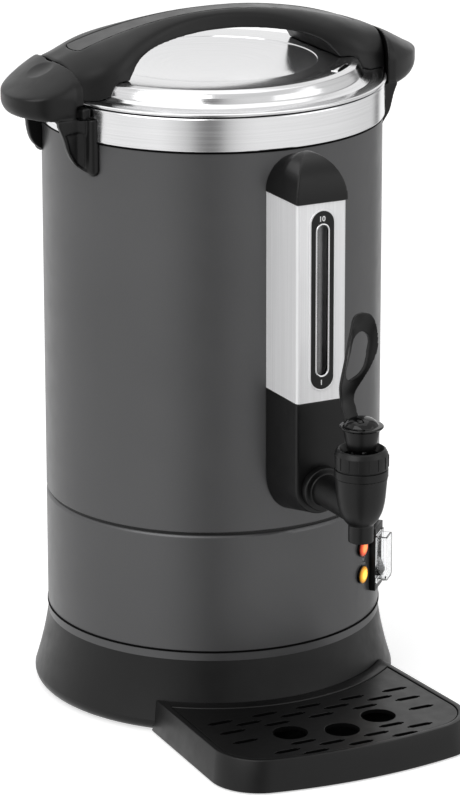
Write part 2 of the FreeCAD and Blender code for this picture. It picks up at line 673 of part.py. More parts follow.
# Lamps and the covered rocker switch on the lower shell
def make_controls():
    outside = ring(BODY_R + 30, BODY_R + SEAT, 0, LOWER_TOP)
    bezels, lenses = [], []
    for side in (-1, 1):
        z = LAMP_Z + side * LAMP_PITCH / 2
        front = -BODY_R - LAMP_PROUD
        bezel = rod_y(LAMP_R, front, -BODY_R + 1, z=z).common(outside)
        bezel = bezel.fuse(rod_y(LAMP_BODY_R, -BODY_R - 1, -BODY_R + LAMP_BODY_L, z=z))
        bezel = bezel.cut(rod_y(LENS_R + SEAT - 0.6, front - 1, -BODY_R + 4, z=z))
        bezel = bezel.cut(rod_y(LENS_R + SEAT, front - 1, front + 1.0, z=z))
        bezels.append(turned(bezel, LAMP_DEG))
        dome = face([(0, -LENS_DOME), [(LENS_R * 0.6, -LENS_DOME * 0.72), (LENS_R, 0)], (LENS_R, 0.9),
                     (0, 0.9)], xy).revolve(V(), V(0, 1, 0), 360)
        lenses.append(turned(moved(dome, y=front + SEAT, z=z), LAMP_DEG))
    pieces["lamp_bezels"] = Part.makeCompound(bezels)
    pieces["lamp_lens_low"] = lenses[0]
    pieces["lamp_lens_high"] = lenses[1]

    front = -BODY_R - SWITCH_T
    half_w, half_h = SWITCH_W / 2, SWITCH_H / 2
    frame = block((-half_w, half_w), (front, -BODY_R + 2), (SWITCH_Z - half_h, SWITCH_Z + half_h))
    frame = frame.common(outside)
    frame = frame.fuse(block((-SWITCH_BODY_W / 2, SWITCH_BODY_W / 2), (front + 1, -BODY_R + SWITCH_BODY_L),
                             (SWITCH_Z - SWITCH_BODY_H / 2, SWITCH_Z + SWITCH_BODY_H / 2)))
    frame = frame.cut(block((-WINDOW_W / 2, WINDOW_W / 2), (front - 1, front + WINDOW_DEPTH),
                            (SWITCH_Z - WINDOW_H / 2, SWITCH_Z + WINDOW_H / 2)))
    pivot_y = front + PIVOT_DEPTH + PIVOT_R + 2
    frame = frame.cut(rod_x(PIVOT_R + RUN, -WINDOW_W / 2 - 1.1, WINDOW_W / 2 + 1.1, pivot_y, SWITCH_Z))
    pieces["switch_frame"] = turned(frame, SWITCH_DEG)

    half_z = WINDOW_H / 2 - ROCKER_MARGIN
    half_x = WINDOW_W / 2 - GAP
    rise = ROCKER_RISE + PIVOT_DEPTH + PIVOT_R
    flat = rise - 2 * half_z * math.tan(math.radians(ROCKER_TILT / 2))
    back = 3.0
    outline = [(pivot_y - flat, SWITCH_Z + half_z), (pivot_y - PIVOT_R - 0.6, SWITCH_Z),
               (pivot_y - rise, SWITCH_Z - half_z), (pivot_y + 1, SWITCH_Z - half_z),
               ((pivot_y + back, SWITCH_Z), (pivot_y + 1, SWITCH_Z + half_z))]
    rocker = moved(face(outline, yz).extrude(V(2 * half_x, 0, 0)), x=-half_x)
    rocker = rocker.fuse(rod_x(PIVOT_R, -WINDOW_W / 2 - 1, WINDOW_W / 2 + 1, pivot_y, SWITCH_Z))
    pieces["rocker"] = turned(rocker, SWITCH_DEG)

    def boot(inset, outer_y):
        w, h = COVER_W / 2 - inset, COVER_H / 2 - inset
        box = block((-w, w), (outer_y, front - SEAT), (SWITCH_Z - h, SWITCH_Z + h))
        corners = [e for e in box.Edges if abs(e.tangentAt(0).y) > 0.9]
        return box.makeFillet(COVER_CORNER - inset * 0.9, corners)

    cover = boot(0, front - COVER_PROUD)
    foot = block((-COVER_W / 2 - 1.4, COVER_W / 2 + 1.4), (front - SEAT - COVER_FOOT, front - SEAT),
                 (SWITCH_Z - COVER_H / 2 - 1.8, SWITCH_Z + COVER_H / 2 + 1.8))
    cover = cover.fuse(foot).cut(boot(COVER_WALL, front - COVER_PROUD + COVER_WALL))
    pieces["switch_cover"] = turned(cover, SWITCH_DEG)


# Front column: bright cover between two black ends, with the level gauge in its middle
def column_box(inset, low, high, back=-100.0):
    """The column's plan with rounded front corners, standing from low to high."""
    half = COLUMN_W / 2 - inset
    front = COLUMN_Y + inset
    corner = max(COLUMN_CORNER - inset, 0.5)
    bend = corner * (1 - math.sqrt(0.5))
    plan = [(-half, back), (-half, front + corner), ((-half + bend, front + bend), (-half + corner, front)),
            (half - corner, front), ((half - bend, front + bend), (half, front + corner)), (half, back)]
    return moved(face(plan, xy).extrude(V(0, 0, high - low)), z=low)


def half_oval(half, height, y, z, foot):
    """Outline in the plane y of a half oval standing on z, closed by a straight foot."""
    spots = [180 - 22.5 * i for i in range(9)]
    points = [V(half * math.cos(math.radians(a)), y, z + height * math.sin(math.radians(a))) for a in spots]
    curve = Part.BSplineCurve()
    curve.interpolate(points)
    corners = [V(half, y, foot), V(-half, y, foot)]
    edges = [curve.toShape()]
    ends = [points[-1]] + ([] if foot == z else corners) + [points[0]]
    edges += [Part.LineSegment(a, b).toShape() for a, b in zip(ends, ends[1:])]
    return Part.Wire(edges)


def cap_solid(inset):
    half = COLUMN_W / 2 + COVER_PROUD_BY - inset
    rise = CAP_RISE - inset
    front = COLUMN_Y - COVER_PROUD_BY + inset
    back = -BODY_R + 2
    behind = Part.makeLoft([half_oval(half, rise - CAP_BACK_DROP, back, STEEL_TOP, STEEL_TOP),
                            half_oval(half, rise, CAP_CREST_Y, STEEL_TOP, STEEL_TOP)], True, True)
    ahead = Part.Face(half_oval(half, rise, front - 1, STEEL_TOP, STEEL_TOP))
    ahead = ahead.extrude(V(0, CAP_CREST_Y - front + 1, 0))
    reach = CAP_CREST_Y - front
    slope = [(CAP_CREST_Y - reach * math.sin(math.radians(a)), STEEL_TOP + rise * math.cos(math.radians(a)))
             for a in (0, 15, 30, 45, 60, 75, 90)]
    side = face([slope[0], slope[1:], (CAP_CREST_Y, STEEL_TOP)], yz).extrude(V(2 * half + 2, 0, 0))
    return behind.fuse(ahead.common(moved(side, x=-half - 1)))


def lower_solid(inset):
    half = COLUMN_W / 2 + LOWER_PROUD_BY - inset
    front = COLUMN_Y - LOWER_PROUD_BY + inset
    wires = [half_oval(half, -LOWER_FRONT_DROP + inset, front, LOWER_CENTRE, STEEL_BOTTOM),
             half_oval(half, -LOWER_BACK_DROP + inset, -BODY_R + 2, LOWER_CENTRE, STEEL_BOTTOM)]
    return Part.makeLoft(wires, True, True)


def make_column():
    body = disc(BODY_R + SEAT, 0, BAND_TOP)
    steel = column_box(0, STEEL_BOTTOM + SEAT, STEEL_TOP - SEAT)
    steel = steel.cut(column_box(COLUMN_SHEET, STEEL_BOTTOM - 1, STEEL_TOP + 1))
    lip_w = BEZEL_W + 2 * SEAT + 2 * COLUMN_SHEET
    lip_h = BEZEL_H + 2 * SEAT + 2 * COLUMN_SHEET
    steel = steel.fuse(racetrack(lip_w, lip_h, COLUMN_Y - COLUMN_LIP, COLUMN_Y + 0.2, BEZEL_Z))
    steel = steel.cut(racetrack(BEZEL_W + 2 * SEAT, BEZEL_H + 2 * SEAT, COLUMN_Y - 2, COLUMN_Y + 3, BEZEL_Z))
    pieces["column_steel_cover"] = steel.cut(body)

    def tongue(low, high):
        lap = column_box(COLUMN_SHEET + SEAT, low, high)
        lap = lap.cut(column_box(COLUMN_SHEET + SEAT + 1.6, low - 1, high + 1))
        return lap.cut(block((-8, 8), (COLUMN_Y - 2, COLUMN_Y + 8), (low - 1, high + 1)))

    cap = cap_solid(0).cut(cap_solid(COLUMN_WALL + COVER_PROUD_BY))
    boss = rod_y(3.6, -BODY_R - CAP_SCREW_L, -BODY_R + 2, z=CAP_SCREW_Z)
    web = block((-0.8, 0.8), (-BODY_R - CAP_SCREW_L, -BODY_R + 2), (CAP_SCREW_Z, STEEL_TOP + CAP_RISE))
    web = web.common(cap_solid(0.5))
    cap = joined([cap, tongue(STEEL_TOP - TONGUE_LAP, STEEL_TOP + 1), boss, web])
    cap = cap.cut(rod_y(SCREW_R + SEAT, -BODY_R - CAP_SCREW_L + 2, 0, z=CAP_SCREW_Z))
    pieces["column_top_cap"] = cap.cut(body)
    screw = rod_y(SCREW_R, -BODY_R - CAP_SCREW_L + 3, -BODY_R + 2, z=CAP_SCREW_Z)
    head = rod_y(SCREW_HEAD_R, -BODY_R + SHEET + 0.1, -BODY_R + SHEET + SCREW_HEAD_H, z=CAP_SCREW_Z)
    pieces["cap_screw"] = screw.fuse(head)
    pieces["upper_shell"] = pieces["upper_shell"].cut(
        rod_y(SCREW_R + 0.2, -BODY_R - 2, -BODY_R + 4, z=CAP_SCREW_Z))

    lower = lower_solid(0).cut(lower_solid(COLUMN_WALL + LOWER_PROUD_BY))
    lower = lower.cut(block((-15, 15), (COLUMN_Y + 6, -100), (STEEL_BOTTOM - 4, STEEL_BOTTOM + 1)))
    lower = lower.fuse(tongue(STEEL_BOTTOM - 1, STEEL_BOTTOM + TONGUE_LAP))
    lower = lower.cut(rod_y(SHANK_THREAD_R + SEAT, COLUMN_Y - 3, COLUMN_Y + 6, z=TAP_Z))
    lower = lower.cut(block((-8, 8), (COLUMN_Y + 2, COLUMN_Y + 14), (STEEL_BOTTOM - 20, STEEL_BOTTOM + 1)))
    pieces["column_lower_cover"] = lower.cut(body)

    back = COLUMN_Y + COLUMN_SHEET + SEAT
    bezel = racetrack(BEZEL_W, BEZEL_H, COLUMN_Y - BEZEL_PROUD, back + 1, BEZEL_Z)
    bezel = bezel.fuse(racetrack(BEZEL_W + 6, BEZEL_H + 1.6, back, COLUMN_Y - BEZEL_PROUD + BEZEL_T, BEZEL_Z))
    bezel = bezel.cut(racetrack(TRIM_W, TRIM_H, COLUMN_Y - 3, COLUMN_Y + 6, BEZEL_Z))
    pieces["gauge_bezel"] = bezel
    trim = racetrack(TRIM_W - 2 * SEAT, TRIM_H - 2 * SEAT, COLUMN_Y - BEZEL_PROUD - TRIM_PROUD,
                     COLUMN_Y - BEZEL_PROUD + BEZEL_T - 1, BEZEL_Z)
    inner_w, inner_h = TRIM_W - 2 * TRIM_RIM, TRIM_H - 2 * TRIM_RIM
    trim = trim.cut(racetrack(inner_w, inner_h, COLUMN_Y - 3, COLUMN_Y + 6, BEZEL_Z))
    pieces["gauge_trim"] = trim
    tube = disc(TUBE_R, TUBE_BOTTOM, TUBE_TOP, 0, TUBE_Y)
    pieces["sight_tube"] = tube.cut(disc(TUBE_BORE_R, TUBE_BOTTOM - 1, TUBE_TOP + 1, 0, TUBE_Y))
    sleeve = disc(PLUG_R, TUBE_BOTTOM - PLUG_BITE, TUBE_BOTTOM + PLUG_BITE, 0, TUBE_Y)
    sleeve = sleeve.cut(disc(TUBE_R + SEAT, 0, BAND_TOP, 0, TUBE_Y))
    plug = disc(PLUG_R, TUBE_TOP - PLUG_BITE, TUBE_TOP + PLUG_CAP, 0, TUBE_Y)
    plug = plug.cut(disc(TUBE_R + SEAT, 0, TUBE_TOP + SEAT, 0, TUBE_Y))
    pieces["gauge_seals"] = Part.makeCompound([sleeve, plug.cut(disc(0.8, 0, BAND_TOP, 0, TUBE_Y))])
    riser_low = TAP_Z + SHANK_THREAD_R - RISER_BITE
    riser = disc(TUBE_R, riser_low, TUBE_BOTTOM - GAP, 0, TUBE_Y)
    nut_low = TAP_Z + SHANK_THREAD_R + 0.3
    riser = riser.fuse(moved(prism_hex(RISER_NUT_R, nut_low, nut_low + RISER_NUT_H), y=TUBE_Y))
    pieces["gauge_riser"] = riser.cut(disc(TUBE_BORE_R, 0, BAND_TOP, 0, TUBE_Y))


# Tap: body, union collar, stem with its cup and spring, and the loop lever that lifts them
def tap_spin(path):
    return moved(spin(path), y=TAP_Y)


def make_tap():
    body = tap_spin([(0, SPOUT_BOTTOM), (SPOUT_R, SPOUT_BOTTOM), (SPOUT_R, SPOUT_TOP),
                     [(BOWL_LOW_R, TAP_SEAT_Z), (BOWL_MID_R, (TAP_SEAT_Z + BARREL_TOP) / 2 - 3.5),
                      (BARREL_R, BARREL_TOP)],
                     (NECK_R, BARREL_TOP), (NECK_R, NECK_TOP), (0, NECK_TOP)])
    body = body.fuse(rod_y(SHANK_R, TAP_Y + 4, COLUMN_Y - TAP_FLANGE_T, z=TAP_Z))
    front = COLUMN_Y - LOWER_PROUD_BY - SEAT
    body = body.fuse(rod_y(TAP_FLANGE_R, front - TAP_FLANGE_T, front, z=TAP_Z))
    body = body.fuse(rod_y(SHANK_THREAD_R, front - 1, SHANK_END, z=TAP_Z))
    body = body.cut(disc(SPOUT_BORE_R, SPOUT_BOTTOM - 1, SPOUT_BOTTOM + SPOUT_BORE_L, 0, TAP_Y))
    body = body.cut(disc(SPOUT_THROAT_R, SPOUT_BOTTOM, TAP_SEAT_Z + 1, 0, TAP_Y))
    body = body.cut(disc(CHAMBER_R, TAP_SEAT_Z, CHAMBER_TOP + 1, 0, TAP_Y))
    body = body.cut(disc(BARREL_BORE_R, CHAMBER_TOP, NECK_TOP + 1, 0, TAP_Y))
    body = body.cut(rod_y(SHANK_BORE_R, TAP_Y, SHANK_END + 1, z=TAP_Z + SHANK_BORE_RISE))
    riser_low = TAP_Z + SHANK_THREAD_R - RISER_BITE
    body = body.cut(disc(TUBE_R + SEAT, riser_low - SEAT, riser_low + 20, 0, TUBE_Y))
    body = body.cut(disc(TUBE_BORE_R, TAP_Z + SHANK_BORE_RISE, riser_low + 1, 0, TUBE_Y))
    pieces["tap_body"] = body

    web_low = NECK_TOP + SEAT
    web_top = web_low + COLLAR_WEB_T
    collar = tap_spin([(STEM_R + RUN, web_low), (NECK_R + SEAT, web_low), (NECK_R + SEAT, BARREL_TOP + SEAT),
                       (COLLAR_R - COLLAR_RIB_R + 0.3, BARREL_TOP + SEAT), (COLLAR_R - 0.4, BARREL_TOP + 6),
                       (COLLAR_R - 0.4, COLLAR_TOP - 2), (COLLAR_R - 1.6, COLLAR_TOP),
                       (COLLAR_MOUTH_R, COLLAR_TOP), (COLLAR_OPENING_R, COLLAR_TOP - COLLAR_MOUTH_DROP),
                       (COLLAR_OPENING_R, web_top), (STEM_R + RUN, web_top)])
    rib = disc(COLLAR_RIB_R, BARREL_TOP + 1, COLLAR_TOP - 2.5, COLLAR_R - COLLAR_RIB_R, 0)
    ribs = [moved(turned(rib, 360 / COLLAR_RIBS * (i + 0.5)), y=TAP_Y) for i in range(COLLAR_RIBS)]
    pieces["tap_collar"] = joined([collar] + ribs)

    cup = tap_spin([(0, TAP_SEAT_Z - 1.5), (SPOUT_THROAT_R - 1.2, TAP_SEAT_Z - 1.5),
                    (SPOUT_THROAT_R - 0.6, TAP_SEAT_Z + SEAT), (CUP_R, TAP_SEAT_Z + SEAT),
                    (CUP_R, TAP_SEAT_Z + CUP_H),
                    (STEM_R + 2, TAP_SEAT_Z + CUP_H + 1.5), (STEM_R + 2, PISTON_LOW),
                    (BARREL_BORE_R - 2 * RUN, PISTON_LOW), (BARREL_BORE_R - 2 * RUN, PISTON_LOW + PISTON_H),
                    (0, PISTON_LOW + PISTON_H)])
    stem_low = TAP_SEAT_Z + 2
    pieces["seat_cup"] = cup.cut(disc(STEM_R + SEAT, stem_low, NECK_TOP, 0, TAP_Y))
    stem = disc(STEM_R, stem_low + SEAT, LEVER_PIVOT_Z, 0, TAP_Y)
    stem = stem.fuse(disc(STEM_R + 1.8, PISTON_LOW + PISTON_H + SEAT, PISTON_LOW + PISTON_H + 1.2, 0, TAP_Y))
    stem = stem.fuse(rod_x(STEM_EYE_R, -STEM_EYE_W / 2, STEM_EYE_W / 2, TAP_Y, LEVER_PIVOT_Z))
    pieces["tap_stem"] = stem.cut(rod_x(PIN_R + SEAT, -9, 9, TAP_Y, LEVER_PIVOT_Z))
    pieces["lever_pin"] = rod_x(PIN_R, -LEVER_CHEEK_X, LEVER_CHEEK_X, TAP_Y, LEVER_PIVOT_Z)

    spring_low = PISTON_LOW + PISTON_H + SPRING_WIRE + SEAT
    spring_high = web_low - SPRING_WIRE - SEAT
    pitch = (spring_high - spring_low) / SPRING_TURNS
    coil = Part.makeHelix(pitch, spring_high - spring_low, SPRING_R)
    start = Part.Wire(Part.makeCircle(SPRING_WIRE, V(SPRING_R, 0, 0), V(0, 1, 0)))
    pieces["tap_spring"] = moved(Part.Wire(coil).makePipeShell([start], True, True), y=TAP_Y, z=spring_low)

    pivot = LEVER_PIVOT_Z
    hub = tap_spin([(0, HUB_BOTTOM), (HUB_R_LOW, HUB_BOTTOM), (HUB_R_TOP, HUB_TOP), (0, HUB_TOP)])
    heel = LEVER_HEEL
    cheeks = face([(TAP_Y - heel, HUB_BOTTOM + 1), (TAP_Y - heel, pivot - heel + 0.4),
                   (TAP_Y - heel + 0.4, pivot - heel), (TAP_Y + 3, pivot - heel),
                   ((TAP_Y + 5.6, pivot - heel + 1.4), (TAP_Y + heel, pivot - 2)),
                   (TAP_Y + heel, HUB_BOTTOM + 1)],
                  yz)
    cheeks = moved(cheeks.extrude(V(2 * LEVER_CHEEK_X, 0, 0)), x=-LEVER_CHEEK_X)
    loop = lever_blade()
    lever = joined([hub, cheeks, loop])
    slot = block((-LEVER_SLOT_W / 2, LEVER_SLOT_W / 2), (TAP_Y - 9, TAP_Y + 9),
                 (pivot - heel - 1, pivot + STEM_EYE_R + 2.2))
    lever = lever.cut(slot).cut(rod_x(PIN_R + RUN, -9, 9, TAP_Y, pivot))
    knob_peg = disc(4.0 + SEAT, HUB_TOP - 5, HUB_TOP + 1, 0, TAP_Y)
    pieces["tap_lever"] = lever.cut(knob_peg)
    top = HUB_TOP + SEAT
    knob = tap_spin([(0, top), (HUB_R_TOP, top), (KNOB_R, top + 1.4), (KNOB_R, top + 2.2),
                     (HUB_R_TOP - 0.8, top + 2.6),
                     [(HUB_R_TOP * 0.62, top + KNOB_RISE * 0.78), (0, top + KNOB_RISE)]])
    knob = knob.fuse(disc(4.0, HUB_TOP - 4.8, HUB_TOP + 1, 0, TAP_Y))
    flat = block((-KNOB_R, KNOB_R), (TAP_Y + KNOB_FLAT, TAP_Y + 2 * KNOB_R), (HUB_TOP, LEVER_TOP))
    pieces["tap_cap"] = knob.cut(flat)

    nut = prism_hex(NUT_FLATS / 2, -NUT_H / 2, NUT_H / 2)
    nut.rotate(V(), RIGHT, 90)
    washer_back = -VESSEL_R + WASHER_T + 1.5
    nut = moved(nut, y=washer_back + SEAT + NUT_H / 2, z=TAP_Z)
    pieces["tap_nut"] = nut.cut(rod_y(SHANK_THREAD_R + SEAT, -VESSEL_R, 0, z=TAP_Z))
    washer = rod_y(WASHER_R, -VESSEL_R - 4, washer_back, z=TAP_Z).common(disc(VESSEL_R - SEAT, 0, RIM_Z))
    pieces["tap_washer"] = washer.cut(rod_y(SHANK_THREAD_R + SEAT, -VESSEL_R - 6, 0, z=TAP_Z))


def lever_blade():
    """The cupped loop: arched sections along its middle line, trimmed to a pear with a long hole."""
    line = [V(0, TAP_Y + back, LEVER_PIVOT_Z + up) for up, back in LEVER_LINE]
    wires = []
    for i, point in enumerate(line):
        ahead = line[min(i + 1, len(line) - 1)]
        behind = line[max(i - 1, 0)]
        along = (ahead - behind).normalize()
        normal = along.cross(RIGHT).normalize()
        if normal.y > 0:
            normal = normal.negative()
        wide = LOOP_NECK_HALF + (LOOP_HALF_W + 1.5 - LOOP_NECK_HALF) * min(max((i - 2.5) / 2.5, 0), 1)
        cup = LOOP_CUP_R - math.sqrt(LOOP_CUP_R ** 2 - wide ** 2)

        def at(x, out):
            return point + V(x, 0, 0) + normal * out

        t = LEVER_T / 2
        front = Part.Arc(at(-wide, cup + t), at(0, t), at(wide, cup + t)).toShape()
        back = Part.Arc(at(wide, cup - t), at(0, -t), at(-wide, cup - t)).toShape()
        ends = [Part.LineSegment(at(wide, cup + t), at(wide, cup - t)).toShape(),
                Part.LineSegment(at(-wide, cup - t), at(-wide, cup + t)).toShape()]
        wires.append(Part.Wire([front, ends[0], back, ends[1]]))
    blade = Part.makeLoft(wires, True, False)
    neck_z = LEVER_PIVOT_Z + LEVER_LINE[3][0]
    wide_z = (LOOP_HOLE_BOTTOM + LOOP_HOLE_TOP) / 2 + 6
    n, w = LOOP_NECK_HALF, LOOP_HALF_W
    right = [(n, neck_z), (n + 2.0, neck_z + 9), (w - 1.2, wide_z - 13), (w, wide_z),
             (w - 2.2, LEVER_TOP - 9), (w * 0.55, LEVER_TOP - 2.2), (0, LEVER_TOP)]
    left = [(-x, z) for x, z in reversed(right[:-1])]
    low = LEVER_PIVOT_Z
    loop = [(n, neck_z - 5)] + right + left + [(-n, neck_z - 5), (-n - 1.5, low)]
    pear = face([(-n - 1.5, low), (n + 1.5, low), loop],
                xz)
    pear = moved(pear.extrude(V(0, 60, 0)), y=TAP_Y - 30)
    h = LOOP_HOLE_HALF
    hole = [(h * 0.75, LOOP_HOLE_BOTTOM + 5), (h, wide_z), (h * 0.7, LOOP_HOLE_TOP - 3), (0, LOOP_HOLE_TOP)]
    hole = hole + [(-x, z) for x, z in reversed(hole[:-1])] + [(0, LOOP_HOLE_BOTTOM)]
    hole = moved(face([(0, LOOP_HOLE_BOTTOM), hole], xz).extrude(V(0, 60, 0)), y=TAP_Y - 30)
    return blade.common(pear).cut(hole)


# Lid, its seal and the arched handle with a bayonet tab on each leg
def make_lid():
    top = LID_TOP
    low = top - DISH_DEPTH
    mid = low + DISH_DEPTH * 0.28
    s = LID_SHEET
    wall_low = FLANGE_TOP + s
    r = LID_ROUND
    bend = r * (1 - math.sqrt(0.5))
    lid = spin([(0, low), (DISH_FLAT_R, low), ((DISH_R * 0.55, mid), (DISH_R, top - DISH_STEP)),
                (DISH_R, top),
                (LID_TOP_R - r, top), ((LID_TOP_R - bend, top - bend), (LID_TOP_R, top - r)),
                (LID_WALL_R, wall_low), (LID_WALL_R + 2, FLANGE_TOP), (LID_R - LID_HEM / 2, FLANGE_TOP),
                ((LID_R, FLANGE_TOP - LID_HEM / 2), (LID_R - LID_HEM / 2, LID_Z)), (LID_R - 3, LID_Z),
                (LID_R - 3, FLANGE_TOP - s), (LID_WALL_R + 1.4, FLANGE_TOP - s),
                (LID_WALL_R - s, wall_low - 0.5),
                (LID_TOP_R - s, top - r),
                ((LID_TOP_R - s / 2 - bend, top - s / 2 - bend), (LID_TOP_R - r, top - s)),
                (DISH_R + s, top - s), (DISH_R + s, top - DISH_STEP - s), (DISH_R, top - DISH_STEP - s),
                ((DISH_R * 0.55, mid - s), (DISH_FLAT_R, low - s)), (0, low - s)])
    slot = block((-VENT_SLOT_W / 2, VENT_SLOT_W / 2), (-VENT_SLOT_L / 2, VENT_SLOT_L / 2), (top - 3, top + 1))
    lid = lid.cut(turned(moved(slot, x=VENT_SLOT_AT), VENT_SLOT_DEG))
    for x, y in lid_screw_spots():
        lid = lid.cut(disc(SCREW_R + 0.2, top - 3, top + 1, x, y))
    pieces["lid_shell"] = lid

    seal_low = BAND_TOP + SEAL_AIR
    seal_top = FLANGE_TOP - s - SEAL_AIR
    pieces["lid_seal"] = spin([
        (SEAL_IN_R, BAND_TOP - SEAL_LIP), (SEAL_IN_R + SEAL_LIP_T, BAND_TOP - SEAL_LIP),
        (SEAL_IN_R + SEAL_LIP_T, seal_low), (SEAL_OUT_R, seal_low), (SEAL_OUT_R, seal_top),
        (SEAL_IN_R, seal_top)])
    head_z = top - s - SEAT
    screw = spin([(0, head_z - SCREW_HEAD_H), (SCREW_HEAD_R - 0.8, head_z - SCREW_HEAD_H),
                  (SCREW_HEAD_R, head_z - 0.8),
                  (SCREW_HEAD_R, head_z), (SCREW_R, head_z), (SCREW_R, head_z + LID_SCREW_L),
                  (0, head_z + LID_SCREW_L)])
    pieces["lid_screws"] = Part.makeCompound([moved(screw, x, y) for x, y in lid_screw_spots()])

    envelope = spin([(0, 0), (LID_R + 0.3, 0), (LID_R + 0.3, FLANGE_TOP + SEAT),
                     (LID_WALL_R + 2, FLANGE_TOP + SEAT),
                     (LID_WALL_R + SEAT, wall_low), (LID_TOP_R + SEAT, top - r),
                     ((LID_TOP_R - bend + SEAT, top - bend + SEAT), (LID_TOP_R - r, top + SEAT)),
                     (0, top + SEAT)])
    end = LEG_R + 2
    inner = [(LEG_IN, LEG_SKIRT_BOTTOM), (LEG_IN, top)]
    bend_in = [(LEG_IN - back, top + share * FINGER_ROOM)
               for back, share in ((2.7, 0.14), (9.8, 0.46), (17.4, 0.63), (27.0, 0.76), (40.0, 0.86))]
    left_bend = [(-x, z) for x, z in reversed(bend_in)]
    under = [(end, ARCH_TOP + 1), (end, LEG_SKIRT_BOTTOM)] + inner
    under += [bend_in, ((0, ARCH_UNDER), left_bend[0])]
    under += [left_bend[1:] + [(-LEG_IN, top)], (-LEG_IN, LEG_SKIRT_BOTTOM), (-end, LEG_SKIRT_BOTTOM),
              (-end, ARCH_TOP + 1)]
    arch = moved(face(under, xz).extrude(V(0, 120, 0)), y=-60)
    handle = arch.common(crowned_arch()).common(disc(LEG_R, 0, ARCH_TOP + 1))
    handle = handle.cut(envelope)
    tab = ring(LEG_R + TAB_REACH, LID_R + 0.3, LEG_SKIRT_BOTTOM, LEG_SKIRT_BOTTOM + TAB_H)
    tab = tab.common(wedge(TAB_FROM_DEG, TAB_TO_DEG))
    handle = handle.fuse(tab).fuse(turned(tab, 180))
    handle = handle.cut(insert_solid(INSERT_AIR))
    for x, y in lid_screw_spots():
        handle = handle.cut(disc(SCREW_R + SEAT, top - 1, head_z + LID_SCREW_L + 1, x, y))
    pieces["lid_handle"] = handle
    pieces["lid_handle_insert"] = insert_solid(0)


def lid_screw_spots():
    return [(x * LID_SCREW_AT, y * LID_SCREW_Y) for x in (-1, 1) for y in (-1, 1)]


def wedge(start, stop):
    """A tall wedge about the urn's axis between two angles from +X."""
    slice_ = face([(0, 0), (300, 0), ((300 * math.cos(math.radians((stop - start) / 2)),
                                       300 * math.sin(math.radians((stop - start) / 2))),
                                      (300 * math.cos(math.radians(stop - start)),
                                       300 * math.sin(math.radians(stop - start))))], xy)
    return turned(slice_.extrude(V(0, 0, 600)), start)


def arch_crest(x):
    """Height of the arch's middle line at x."""
    return ARCH_TOP - ARCH_R + math.sqrt(ARCH_R ** 2 - x ** 2)


def crowned_arch():
    """The arch's body: sections narrow in the middle, each with a flat top, round shoulders
    and drafted sides."""
    stations = [(0, ARCH_HALF_MID, 0), (20, ARCH_HALF_MID + 0.9, 0.06), (42, ARCH_HALF_WAIST, 0.25),
                (67, ARCH_HALF_SHOULDER, 0.62), (97, ARCH_HALF_LEG - 0.5, 1), (130, ARCH_HALF_LEG, 1)]
    stations = [(-x, half, share) for x, half, share in reversed(stations[1:])] + stations
    wires = []
    for x, half, share in stations:
        crest = arch_crest(x)
        shoulder = crest - CROWN_DROP_MID - (CROWN_DROP_LEG - CROWN_DROP_MID) * share
        flat = INSERT_HALF_MID + (INSERT_HALF_END - INSERT_HALF_MID) * abs(x) / INSERT_END - 1
        wide = half + (ARCH_UNDER - shoulder) * DRAFT
        foot = half + (ARCH_UNDER - LEG_SKIRT_BOTTOM + 1) * DRAFT
        low = LEG_SKIRT_BOTTOM - 1
        bend = [V(x, flat + (wide - flat) * math.cos(math.radians(a)),
                  shoulder + (crest - shoulder) * math.sin(math.radians(a))) for a in range(0, 91, 15)]
        mirror = [V(x, -point.y, point.z) for point in reversed(bend)]
        right, left = Part.BSplineCurve(), Part.BSplineCurve()
        right.interpolate(bend)
        left.interpolate(mirror)
        lines = [(V(x, foot, low), bend[0]), (bend[-1], mirror[0]), (mirror[-1], V(x, -foot, low)),
                 (V(x, -foot, low), V(x, foot, low))]
        edges = [Part.LineSegment(start, stop).toShape() for start, stop in lines]
        wires.append(Part.Wire([edges[0], right.toShape(), edges[1], left.toShape(), edges[2], edges[3]]))
    return Part.makeLoft(wires, True, False)


def insert_solid(air):
    """The strip let into the top of the arch; with air, the groove it lies in."""
    e, m, w = INSERT_END + air, INSERT_HALF_MID + air, INSERT_HALF_END + air
    corner = e - INSERT_END_BOW
    waist = (m + w) / 2 - 0.6
    plan = face([(-corner, -w), [(-e / 2, -waist), (0, -m), (e / 2, -waist), (corner, -w)],
                 ((e, 0), (corner, w)), [(e / 2, waist), (0, m), (-e / 2, waist), (-corner, w)],
                 ((-e, 0), (-corner, -w))], xy)
    plan = moved(plan.extrude(V(0, 0, 60)), z=ARCH_TOP - 50)
    centre = V(0, -60, ARCH_TOP - ARCH_R)
    outer = ARCH_R + 5 if air else ARCH_R - INSERT_SUNK
    inner = ARCH_R - INSERT_SUNK - INSERT_DEPTH - (SEAT if air else 0)
    shell = Part.makeCylinder(outer, 120, centre, V(0, 1, 0))
    shell = shell.cut(Part.makeCylinder(inner, 120, centre, V(0, 1, 0)))
    return plan.common(shell)


# Side handles: a hollow grip on two plates, with two ribs and the bayonet pocket
def grip_wire(inset, share, height):
    """The grip's outline, drawn in to a share of its reach and width; height gives z from x."""
    half = (GRIP_HALF - inset) * share
    reach = (GRIP_END - GRIP_TURN - inset) * share
    lean = GRIP_LEAN * share
    spots = []
    for a in range(-90, 91, 15):
        along, across = math.cos(math.radians(a)), math.sin(math.radians(a))
        spots.append((GRIP_TURN + reach * along, half * across + lean * along))
    spots += [(GRIP_FOOT_X, half), (GRIP_FOOT_X, -half)]
    points = [V(x, y, height(x)) for x, y in spots]
    curve = Part.BSplineCurve()
    curve.interpolate(points[:-2])
    corners = [points[-3], points[-2], points[-1], points[0]]
    sides = [Part.LineSegment(start, stop).toShape() for start, stop in zip(corners, corners[1:])]
    return Part.Wire([curve.toShape()] + sides)


